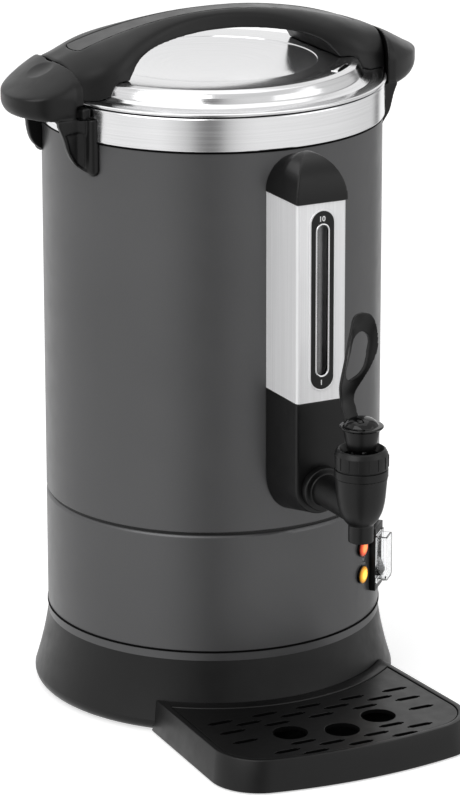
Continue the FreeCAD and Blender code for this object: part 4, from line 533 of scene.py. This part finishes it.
def bead(points, radius, finish):
    """A round bead swept along a closed path of points."""
    path = bpy.data.meshes.new("path")
    path.from_pydata(points, [(i, (i + 1) % len(points)) for i in range(len(points))], [])
    growth = Growth("bead_on_path")
    thick = growth.size("Bead radius", radius)
    line = growth.node("GeometryNodeMeshToCurve", {"Mesh": growth.entry.outputs["Geometry"]})
    ring = growth.node("GeometryNodeCurvePrimitiveCircle", {"Resolution": BEAD_SIDES, "Radius": thick})
    swept = growth.node("GeometryNodeCurveToMesh", {"Curve": line.outputs[0],
                                                    "Profile Curve": ring.outputs[0]})
    return growth.grow(swept.outputs[0], finish, path)


def racetrack(width, height, y, z):
    """Points round an upright slot with round ends, in the plane y."""
    r = width / 2
    straight = height / 2 - r
    points = []
    for top in (1, -1):
        for i in range(RACETRACK_STEPS + 1):
            a = math.pi * i / RACETRACK_STEPS
            points.append((top * r * math.cos(a), y, z + top * (straight + r * math.sin(a))))
    return points


def about(deg, x, y):
    """A place turned about the urn's axis."""
    a = math.radians(deg)
    return x * math.cos(a) - y * math.sin(a), x * math.sin(a) + y * math.cos(a)


# Lid and band
LID_RISE, FLANGE_RISE = 13.7, 2.4
DISH_R, DISH_DEPTH, DISH_STEP = 74.0, 5.6, 0.9
# The louvre's middle from the axis, the way it lies and its length, its rise and its sheet
LOUVRE_AT, LOUVRE_DEG, LOUVRE_L = 95.0, -46.0, 24.0
LOUVRE_RISE, LOUVRE_SHEET, LOUVRE_STEPS = 1.5, 0.5, 16
# Across the louvre from its open edge: distance from its middle line and share of the rise
LOUVRE_SLOPE = ((1.2, 1.0), (0.2, 0.98), (-0.9, 0.78), (-1.9, 0.4), (-2.7, 0.1), (-3.4, -0.05))
# A dark box in the opening in front of it, painted shade: its middle from the axis, its width, length and
# height, its lift
LOUVRE_SHADE_AT, LOUVRE_SHADE_SIZE, LOUVRE_SHADE_LIFT = 96.8, (1.9, 20.0, 0.3), 0.12
BAND_INNER_R, BAND_SHEET = 111.0, 0.8
# Inner and outer radii of the dark rings that stand just proud of the painted shell: under the band a ring
# of painted shadow, at the skirt's top a dark joint
SHADOW_RING_IN, SHADOW_RING_OUT, SHADOW_RING_DROP = 119.95, 120.7, 1.7
JOINT_IN, JOINT_OUT, JOINT_DROP, JOINT_RISE = 119.9, 120.5, 0.2, 1.2
# Parts a hair apart, so that their faces don't flicker
HAIR = 0.02


def make_lid():
    """The lid pressing from its side view: its upper side outwards, then its under side back in."""
    low, high = span("lid_shell")
    z = low.z
    rim = high.x
    flange = z + FLANGE_RISE
    top = z + LID_RISE
    dish = top - DISH_DEPTH
    path = [(0, dish), (8, dish), (24, dish + 0.22), (42, dish + 1.5), (58, dish + 3.0),
            (DISH_R - 0.6, top - DISH_STEP), (DISH_R - 0.1, top - DISH_STEP + 0.12, 0.2),
            (DISH_R + 0.3, top, 0.3), (98.4, top, 1.5), (102.4, top - 1.5, 2.5), (104.4, top - 4.6, 2.5),
            (106.2, top - 8.6, 3.0), (109.8, flange + 0.9, 1.5), (112.6, flange, 1.2),
            (rim - 1.2, flange, 0.8), (rim, flange - 0.6, 0.5), (rim, z + 0.5, 0.5), (rim - 1.2, z, 0.4),
            (rim - 3, z), (rim - 3, flange - 1), (111.8, flange - 1), (108.9, flange - 0.1),
            (105.0, top - 9.0), (103.2, top - 4.9), (101.6, top - 2.3), (97.9, top - 1),
            (DISH_R + 1, top - 1), (DISH_R + 1, top - DISH_STEP - 1),
            (58, dish + 2.0), (42, dish + 0.5), (24, dish - 0.78), (8, dish - 1), (0, dish - 1)]
    settle(lathe(filleted(path)), "lid_pressing", "lid_steel", "lid", ["lid_shell"], 50)
    settle(louvre_hood(top), "lid_louvre", "lid_steel", "lid", crease_deg=60)
    # Painted shade in the louvre's opening: a thin dark box laid on the lid
    shade_box = bmesh.new()
    bmesh.ops.create_cube(shade_box, size=1)
    for vertex in shade_box.verts:
        across, along, up = (value * size for value, size in zip(vertex.co, LOUVRE_SHADE_SIZE))
        x, y = about(LOUVRE_DEG, LOUVRE_SHADE_AT + across, along)
        vertex.co = (x, y, top + up + LOUVRE_SHADE_LIFT)
    settle(shade_box, "lid_louvre_shade", "seam", "lid")


def louvre_hood(top):
    """The lanced hood over the vent slot: raised along one edge and running out at both ends."""
    made = bmesh.new()
    rows = []
    for i in range(LOUVRE_STEPS + 1):
        t = i / LOUVRE_STEPS * 2 - 1
        lift = LOUVRE_RISE * (1 - t ** 4)
        along = t * LOUVRE_L / 2
        row = []
        for across, share in LOUVRE_SLOPE:
            x, y = about(LOUVRE_DEG, LOUVRE_AT + across, along)
            row.append(made.verts.new((x, y, top + lift * share + HAIR)))
        rows.append(row)
    for first, second in zip(rows, rows[1:]):
        for a, b, c, d in zip(first, first[1:], second[1:], second):
            made.faces.new((a, b, c, d))
    return worked(made, ("SOLIDIFY", {"thickness": LOUVRE_SHEET, "offset": -1.0}))


def make_band():
    """The bright band with its rolled edges, and under it a dark ring of painted shadow below its overhang.
    """
    low, high = span("top_band")
    r = high.x
    path = [(r - BAND_SHEET, low.z), (r - 0.2, low.z, 0.15), (r, low.z + 0.5, 0.3),
            (r, high.z - 2.2, 0.6), (r, high.z - 1.2, 0.6), (r - 0.5, high.z - 0.3, 0.6),
            (r - 1.8, high.z, 0.6), (BAND_INNER_R, high.z), (BAND_INNER_R, high.z - BAND_SHEET),
            (r - BAND_SHEET, high.z - BAND_SHEET)]
    settle(lathe(filleted(path)), "bright_band", "steel", "urn", ["top_band"], 50)
    # Painted shadow: a dark ring under the band's overhang
    shadow_ring = [(SHADOW_RING_IN, low.z - SHADOW_RING_DROP), (SHADOW_RING_OUT, low.z - SHADOW_RING_DROP), (r - 0.3, low.z - 0.5),
            (r - 0.3, low.z - HAIR), (SHADOW_RING_IN, low.z - HAIR)]
    settle(lathe(shadow_ring), "band_shadow_ring", "seam", "urn")


def make_skirt_joint():
    """The fine dark joint at the top of the skirt."""
    z = span("base_skirt")[1].z
    ring = [(JOINT_IN, z - JOINT_DROP), (JOINT_OUT, z - JOINT_DROP), (JOINT_OUT, z + JOINT_RISE),
            (JOINT_IN, z + JOINT_RISE)]
    settle(lathe(ring), "skirt_joint", "seam", "urn")


# Handles
def make_handles():
    mould("lid_handle", "arch_handle", "lid", voxel=0.9, passes=5)
    mould("side_handle_left", "grip_left", "urn", voxel=0.7, passes=5)
    mould("side_handle_right", "grip_right", "urn", voxel=0.7, passes=5)


# Column and gauge
BEZEL_W, BEZEL_H, BEZEL_Z = 17.0, 125.0, 323.0
# Inner rim of the window: its size, how far its bead lies inside it and the bead's radius
TRIM_W, TRIM_H, TRIM_INSET, TRIM_BEAD_R = 10.6, 108.0, 0.55, 0.62
# Lip of the window: how much wider than the bezel its bead runs, and the bead's radius
LIP_WIDER, LIP_BEAD_R = 1.6, 0.75
# The cover's sheet behind its foremost point; the lip's bead and the numbers before the sheet
SHEET_BACK, LIP_PROUD, NUMBERS_PROUD = 0.7, 0.35, 1.06
TUBE_Y, TUBE_R = -156.5, 4.0
# Print on the tube: its thickness, its lift off the tube, its left end and its foot under the middle
INK, INK_LIFT, MARKS_LEFT, MARKS_DOWN = 0.12, 0.06, 3.0, 45
MARKS_TO_LITRE = 5.0
# Litre numbers: their size, their shift to the left, and their feet from the window's middle
NUMBER_SIZE, NUMBER_LEFT, NUMBER_HIGH, NUMBER_LOW = 5.0, 0.6, 55.6, -59.4


def make_column():
    """The column's mouldings, the bead rings round its window, and what is printed there."""
    sheet = span("column_steel_cover")[0].y + SHEET_BACK
    cap = mould("column_top_cap", "column_cap", "urn", voxel=0.6, passes=8)
    # In the photograph the bright band above doesn't mirror the cap
    cap.visible_glossy = False
    mould("column_lower_cover", "column_foot", "urn", voxel=0.6, passes=14)
    edge = racetrack(BEZEL_W + LIP_WIDER, BEZEL_H + LIP_WIDER, sheet - LIP_PROUD, BEZEL_Z)
    settle(bead(edge, LIP_BEAD_R, "cover_steel"), "window_lip", "cover_steel", "urn",
           crease_deg=SMOOTH_DEG)
    trim_y = span("gauge_trim")[0].y + TRIM_INSET
    edge = racetrack(TRIM_W - 2 * TRIM_INSET, TRIM_H - 2 * TRIM_INSET, trim_y, BEZEL_Z)
    settle(bead(edge, TRIM_BEAD_R, "steel"), "window_trim", "steel", "urn", ["gauge_trim"], SMOOTH_DEG)
    make_level_scale()
    make_gauge_numbers(sheet - NUMBERS_PROUD)


def make_level_scale():
    """Marks printed on the tube: one for every fifth of a litre, longer at each litre."""
    growth = Growth("level_marks")
    count = growth.size("Marks", 46, "NodeSocketInt")
    pitch = growth.size("Pitch", 2.0)
    length = growth.size("Length", 1.7)
    long_length = growth.size("Litre length", 2.9)
    thick = growth.size("Thickness", 0.28)
    line = growth.node("GeometryNodeMeshLine", {"Count": count, "Offset": growth.vector(z=pitch)})
    index = growth.node("GeometryNodeInputIndex").outputs[0]
    litre = growth.maths("LESS_THAN", growth.maths("MODULO", index, MARKS_TO_LITRE), 0.5)
    both = growth.node("GeometryNodeJoinGeometry")
    for reach, chosen in ((length, growth.maths("SUBTRACT", 1.0, litre)), (long_length, litre)):
        mark = growth.node("GeometryNodeMeshCube", {"Size": growth.vector(reach, INK, thick)})
        half = growth.vector(growth.maths("MULTIPLY", reach, 0.5))
        aside = growth.node("GeometryNodeTransform", {"Geometry": mark.outputs[0], "Translation": half})
        spread = growth.repeat(line.outputs[0], aside.outputs[0], Selection=chosen)
        growth.tree.links.new(spread.outputs[0], both.inputs[0])
    made = growth.grow(both.outputs[0], "dark_ink")
    for vertex in made.verts:
        a = (vertex.co.x - MARKS_LEFT) / (TUBE_R + INK_LIFT)
        out = TUBE_R + INK_LIFT - vertex.co.y
        z = vertex.co.z + BEZEL_Z - MARKS_DOWN
        vertex.co = (out * math.sin(a), TUBE_Y - out * math.cos(a), z)
    settle(made, "level_marks", "dark_ink", "urn", crease_deg=30)


def make_gauge_numbers(front):
    """Plain litre numbers at the two ends of the window."""
    for name, number, z in (("litres_high", "10", NUMBER_HIGH), ("litres_low", "1", NUMBER_LOW)):
        curve = bpy.data.curves.new(name, "FONT")
        curve.body = number
        curve.size = NUMBER_SIZE
        curve.align_x = "CENTER"
        curve.extrude = 0.06
        curve.offset = 0.1
        made = evaluated(in_scene(name, curve))
        bmesh.ops.remove_doubles(made, verts=made.verts, dist=1e-4)
        for vertex in made.verts:
            x, up, out = vertex.co
            vertex.co = (x - NUMBER_LEFT, front - out, up + BEZEL_Z + z)
        settle(made, name, "white_ink", "urn", crease_deg=30)


# Tap
TAP_Y = -221.0
COLLAR_LOW, COLLAR_STEP, COLLAR_TOP, COLLAR_R = 214.65, 220.6, 234.5, 18.4
# Inside the collar: the stem's hole, the barrel it is screwed on, and its web with the dish over it
STEM_HOLE_R, BARREL_R, DISH_WALL_R = 2.45, 14.45, 12.3
WEB_LOW, WEB_TOP = 221.6, 224
# Ribs stand on the collar's upper half, short of its top edge
RIBS, RIB_SINK, RIB_WIDTH, RIB_SIDES, RIB_SHORT, RIB_DROP = 16, 0.05, 0.95, 12, 5.6, 1.2
# The knob's foot, and how far behind its middle it is cut flat
KNOB_Z, KNOB_BACK = 248.25, 11.8
COLLAR_STEPS, KNOB_STEPS = 144, 128


def make_tap():
    mould("tap_body", "tap_casting", "urn", voxel=0.5, passes=5)
    make_collar()
    mould("tap_lever", "loop_lever", "lever", voxel=0.45, passes=4)
    make_knob()


def make_collar():
    """The union nut: its step, its dished top and the ribs on its upper half."""
    r, top, step = COLLAR_R, COLLAR_TOP, COLLAR_STEP
    path = [(STEM_HOLE_R, WEB_LOW), (BARREL_R, WEB_LOW), (BARREL_R, COLLAR_LOW),
            (r - 0.5, COLLAR_LOW, 0.1), (r, COLLAR_LOW + 0.3, 0.1), (r, step - 0.6, 0.3),
            (r - 0.9, step - 0.2, 0.1), (r - 0.9, step + 0.2, 0.1), (r, step + 0.7, 0.4),
            (r - 0.1, top - 4.0, 2.0), (r - 1.5, top - 0.9, 0.9), (15.6, top, 0.5),
            (14.9, top - 0.5, 0.5), (12.4, top - 5, 0.6), (DISH_WALL_R, WEB_TOP), (STEM_HOLE_R, WEB_TOP)]
    collar = lathe(filleted(path), TAP_Y, COLLAR_STEPS)
    growth = Growth("collar_ribs")
    ribs = growth.size("Ribs", RIBS, "NodeSocketInt")
    at = growth.size("Rib radius", r - RIB_SINK)
    wide = growth.size("Rib width", RIB_WIDTH)
    tall = growth.size("Rib height", top - step - RIB_SHORT)
    ring = growth.node("GeometryNodeMeshCircle", {"Vertices": ribs, "Radius": at})
    bar = growth.node("GeometryNodeMeshCylinder", {"Vertices": RIB_SIDES, "Side Segments": 1,
                                                   "Radius": growth.maths("MULTIPLY", wide, 0.5),
                                                   "Depth": tall})
    grown = growth.grow(growth.repeat(ring.outputs[0], bar.outputs[0]).outputs[0], "black_plastic")
    for vertex in grown.verts:
        x, y = about(180 / RIBS, vertex.co.x, vertex.co.y)
        vertex.co = (x, y + TAP_Y, vertex.co.z + (step + top) / 2 - RIB_DROP)
    both = bpy.data.meshes.new("ribs")
    grown.to_mesh(both)
    grown.free()
    collar.from_mesh(both)
    settle(collar, "ribbed_collar", "black_plastic", "urn", ["tap_collar"], 40)


def make_knob():
    """The glossy round cap on the hub, flat at its back where the lever passes."""
    z = KNOB_Z
    path = [(0, z), (12.6, z), (14.3, z + 0.5, 0.3), (15, z + 1.2, 0.5), (15, z + 1.9, 0.5),
            (14.2, z + 2.35, 0.4), (11.6, z + 2.5, 0.6), (10.2, z + 4.6), (7.9, z + 6.4),
            (5.2, z + 7.5), (2.4, z + 8.0), (0, z + 8.05)]
    made = lathe(filleted(path), TAP_Y, KNOB_STEPS)
    cut = bmesh.ops.bisect_plane(made, geom=made.verts[:] + made.edges[:] + made.faces[:],
                                 plane_co=(0, TAP_Y + KNOB_BACK, 0), plane_no=(0, 1, 0),
                                 clear_outer=True)
    rim = [e for e in cut["geom_cut"] if isinstance(e, bmesh.types.BMEdge)]
    bmesh.ops.holes_fill(made, edges=rim)
    settle(made, "hub_knob", "gloss_black", "lever", ["tap_cap"], 50)


def make_spring():
    """The valve's spring under the collar's web, riding with the valve as the stem comes up."""
    spring = settle(welded("tap_spring"), "valve_spring", "plain_steel", "valve", ["tap_spring"], 60)
    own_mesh(spring)


# Tray, switch and lamps
def make_tray():
    settle(eased(welded("drip_tray"), 0.8), "tray_tub", "black_plastic", "tray", ["drip_tray"], 60)
    make_grille()


# Slots of the grille; their ends are rounded by this share of their width
SLOT_LENGTH, SLOT_WIDTH, SLOT_ROUND = 20.4, 4.2, 0.42
SLOT_PITCH_X, SLOT_PITCH_Y, SLOT_FIRST_Y = 17.3, 9.6, -147.0
# How many pitches each row reaches to either side, from the urn forwards
SLOT_REACH = (4, 3, 4, 3, 4, 3, 3, 3, 2)
CUP_HOLE_R = 12.2
CUP_HOLES = ((-34.6, -185.5), (0.0, -196.8), (34.6, -185.5))
# A slot's middle keeps this far outside a cup hole, along the row and across it
CUP_CLEAR_X, CUP_CLEAR_Y = 10.8, 2
# Upright faces nearer to the middle than this many metres are walls of slots and holes, given the dark
# finish as painted shade
GRILLE_WALLS_M = 0.083


def slot_spots():
    """Middles of the grille's slots: rows set off by half a pitch, clear of the three cup holes."""
    spots = []
    for row, reach in enumerate(SLOT_REACH):
        y = SLOT_FIRST_Y - row * SLOT_PITCH_Y
        for column in range(-reach, reach + 1):
            if (row + column) % 2:
                continue
            x = column * SLOT_PITCH_X
            if not any(abs(x - a) < CUP_HOLE_R + CUP_CLEAR_X and abs(y - b) < CUP_HOLE_R + CUP_CLEAR_Y
                       for a, b in CUP_HOLES):
                spots.append((x, y))
    return spots


def make_grille():
    """The grille with its slots opened to full width, and their walls given a dark finish as painted shade.
    """
    low, high = span("drip_grille")
    points = bpy.data.meshes.new("slot_middles")
    points.from_pydata([(x, y, (low.z + high.z) / 2) for x, y in slot_spots()], [], [])
    growth = Growth("grille_slots")
    long_side = growth.size("Slot length", SLOT_LENGTH)
    wide = growth.size("Slot width", SLOT_WIDTH)
    deep = growth.size("Cut depth", (high.z - low.z) * 3)
    size = growth.vector(growth.maths("SUBTRACT", long_side, wide), wide, deep)
    box = growth.node("GeometryNodeMeshCube", {"Size": size})
    spread = growth.repeat(growth.entry.outputs["Geometry"], box.outputs[0])
    grown = growth.grow(spread.outputs[0], "seam", points)
    upright = [e for e in grown.edges if abs(e.verts[0].co.z - e.verts[1].co.z) > 1]
    bmesh.ops.bevel(grown, geom=upright, offset=SLOT_WIDTH * SLOT_ROUND, segments=3, profile=0.5,
                    affect="EDGES")
    cutter_mesh = bpy.data.meshes.new("slot_cutters")
    grown.to_mesh(cutter_mesh)
    grown.free()
    cutter = in_scene("slot_cutters", cutter_mesh)
    made = worked(welded("drip_grille"),
                  ("BOOLEAN", {"operation": "DIFFERENCE", "solver": "EXACT", "object": cutter}))
    bpy.data.objects.remove(cutter)
    piece = settle(eased(made, 0.3, 2), "tray_grille", "black_plastic", "grille", ["drip_grille"], 20)
    # Painted shade: the walls of slots and holes take the dark seam finish
    piece.data.materials.append(FINISH["seam"])
    for side in piece.data.polygons:
        if abs(side.normal.z) < 0.5 and abs(side.center.x) < GRILLE_WALLS_M:
            side.material_index = 1


def make_switch():
    settle(eased(welded("switch_frame"), 0.6), "rocker_frame", "black_plastic", "urn", ["switch_frame"], 60)
    settle(eased(welded("rocker"), 0.5), "rocker_key", "gloss_black", "rocker", ["rocker"], 60)


LAMP_DEG, LAMP_Z, LAMP_PITCH, LENS_R, LENS_SEAT_Y = 35.0, 104.2, 20.3, 6.2, -121.55
FACETS = 16
# Rings of a lens from its seat to its dome: share of its radius, height, and turn in facets
LENS_RINGS = ((1.0, 0.05, 0), (1.0, 0.45, 0), (0.86, 0.9, 0), (0.62, 1.25, 0.5), (0.3, 1.5, 0))


def lens():
    """A lens with facets cut round a domed middle, lying on its back."""
    made = bmesh.new()
    rings = []
    for share, rise, turn in LENS_RINGS:
        angles = [2 * math.pi * (i + turn) / FACETS for i in range(FACETS)]
        r = share * LENS_R
        rings.append([made.verts.new((r * math.cos(a), r * math.sin(a), rise)) for a in angles])
    for first, second in zip(rings, rings[1:]):
        for i in range(FACETS):
            j = (i + 1) % FACETS
            made.faces.new((first[i], first[j], second[j]))
            made.faces.new((first[i], second[j], second[i]))
    made.faces.new(rings[-1])
    made.faces.new(list(reversed(rings[0])))
    return made


def make_lamps():
    for side, name, node, finish in ((-1, "yellow_lens", "lamp_lens_low", "lamp_amber"),
                                     (1, "red_lens", "lamp_lens_high", "lamp_red")):
        made = lens()
        for vertex in made.verts:
            along, up, out = vertex.co
            x, y = about(LAMP_DEG, along, LENS_SEAT_Y - out)
            vertex.co = (x, y, LAMP_Z + side * LAMP_PITCH / 2 + up)
        settle(made, name, finish, "urn", [node], 8)


make_lid()
make_band()
make_skirt_joint()
make_handles()
make_column()
make_tap()
make_spring()
make_tray()
make_switch()
make_lamps()


# Studio: a pale floor, a white surround with a few dark and bright flags, and soft lamps
CAMERA_DEG = -116.85
FLOOR_R = 9.0
# What the floor adds to the light it is lit with, where it is looked at
FLOOR_LIFT = 0.56
# How bright the surround is seen in gloss, by degrees turned from the camera's side
FLAGS = ((-180, 1.0), (-150, 1.0), (-60, 0.90), (-35, 0.95), (-28, 0.855), (-21.6, 0.75), (-15, 0.60),
         (-8, 0.30), (-1.6, 0.205), (5, 0.285), (8.2, 0.47), (11.6, 0.61), (18, 0.76), (25, 0.84),
         (33, 0.88), (60, 0.86), (90, 0.82), (120, 0.73), (134, 0.70), (140, 0.35), (143, 0.22),
         (147, 0.40), (151, 1.0), (180, 1.0))
# Overhead the flags give way to one level, between these heights on the unit sphere
OVERHEAD_LEVEL = 0.80
OVERHEAD_FROM, OVERHEAD_FULL = 0.60, 0.80
DIFFUSE_LEVEL = 0.5
# Soft square lamps in metres and watts: place, the point they are aimed at, side and power
STUDIO_LAMPS = (("key_lamp", (-2.6, -1.2, 2.6), (0, 0, 0.25), 3.0, 56),
                ("fill_lamp", (2.4, -2.2, 1.6), (0, 0, 0.25), 2.4, 12),
                ("top_lamp", (0.2, 0.4, 3.0), (0, 0, 0.3), 2.8, 16))


def make_floor():
    """A pale disc that the camera sees as white and that gloss doesn't mirror."""
    mesh = bpy.data.meshes.new("studio_floor")
    made = bmesh.new()
    bmesh.ops.create_circle(made, cap_ends=True, segments=96, radius=FLOOR_R)
    made.to_mesh(mesh)
    made.free()
    floor = in_scene("studio_floor", mesh)
    paint = Finish("pale_floor", (0.82, 0.82, 0.82), 0.9, level=0.0)
    white = paint.node("ShaderNodeEmission")
    both = paint.node("ShaderNodeAddShader")
    paint.link(paint.maths("MULTIPLY", looked_at(paint), FLOOR_LIFT), white.inputs["Strength"])
    paint.link(paint.shader.outputs[0], both.inputs[0])
    paint.link(white.outputs[0], both.inputs[1])
    paint.link(both.outputs[0], paint.tree.nodes["Material Output"].inputs["Surface"])
    mesh.materials.append(paint.material)
    floor.visible_glossy = False


def looked_at(paint):
    """1 where the camera sees a paint, in gloss or through clear plastic too, 0 for light it sheds."""
    path = paint.node("ShaderNodeLightPath")
    seen = paint.maths("MAXIMUM", path.outputs["Is Camera Ray"], path.outputs["Is Glossy Ray"])
    return paint.maths("MAXIMUM", seen, path.outputs["Is Transmission Ray"])


def make_world():
    """White to the camera, a plain level in diffuse light and the flags in gloss."""
    world = bpy.data.worlds.new("studio")
    bpy.context.scene.world = world
    world.use_nodes = True
    tree = world.node_tree
    back = tree.nodes["Background"]
    back.inputs["Color"].default_value = (1, 1, 1, 1)

    def node(kind, **settings):
        made = tree.nodes.new(kind)
        for key, value in settings.items():
            setattr(made, key, value)
        return made

    def maths(operation, *values):
        made = node("ShaderNodeMath", operation=operation)
        for i, value in enumerate(values):
            feed(tree, made.inputs[i], value)
        return made.outputs[0]

    def blend(share, low, high):
        """low where share is 0, high where it is 1."""
        made = node("ShaderNodeMapRange")
        for key, value in (("Value", share), ("To Min", low), ("To Max", high)):
            feed(tree, made.inputs[key], value)
        return made.outputs[0]

    turned = node("ShaderNodeMapping", vector_type="POINT")
    turned.inputs["Rotation"].default_value = (0, 0, math.radians(-CAMERA_DEG))
    tree.links.new(node("ShaderNodeTexCoord").outputs["Generated"], turned.inputs["Vector"])
    parts = node("ShaderNodeSeparateXYZ")
    tree.links.new(turned.outputs[0], parts.inputs[0])
    way = maths("ARCTAN2", parts.outputs[1], parts.outputs[0])
    share = maths("ADD", maths("MULTIPLY", way, 1 / (2 * math.pi)), 0.5)
    ramp = node("ShaderNodeValToRGB")
    while len(ramp.color_ramp.elements) < len(FLAGS):
        ramp.color_ramp.elements.new(0.5)
    for element, (deg, grey) in zip(ramp.color_ramp.elements, FLAGS):
        element.position = (deg + 180) / 360
        element.color = (grey, grey, grey, 1)
    tree.links.new(share, ramp.inputs[0])
    overhead = node("ShaderNodeMapRange")
    overhead.inputs["From Min"].default_value = OVERHEAD_FROM
    overhead.inputs["From Max"].default_value = OVERHEAD_FULL
    tree.links.new(parts.outputs[2], overhead.inputs["Value"])
    gloss = blend(overhead.outputs[0], ramp.outputs[0], OVERHEAD_LEVEL)
    path = node("ShaderNodeLightPath")
    direct = maths("MAXIMUM", path.outputs["Is Camera Ray"], path.outputs["Is Transmission Ray"])
    level = blend(path.outputs["Is Glossy Ray"], DIFFUSE_LEVEL, gloss)
    level = blend(direct, level, 1.0)
    tree.links.new(level, back.inputs["Strength"])


def soft_lamp(name, place, aim, side, power):
    data = bpy.data.lights.new(name, "AREA")
    data.size = side
    data.energy = power
    lamp = in_scene(name, data)
    look = Vector(aim) - Vector(place)
    lamp.matrix_world = Matrix.Translation(place) @ look.to_track_quat("-Z", "Y").to_matrix().to_4x4()


make_floor()
make_world()
for lamp_values in STUDIO_LAMPS:
    soft_lamp(*lamp_values)
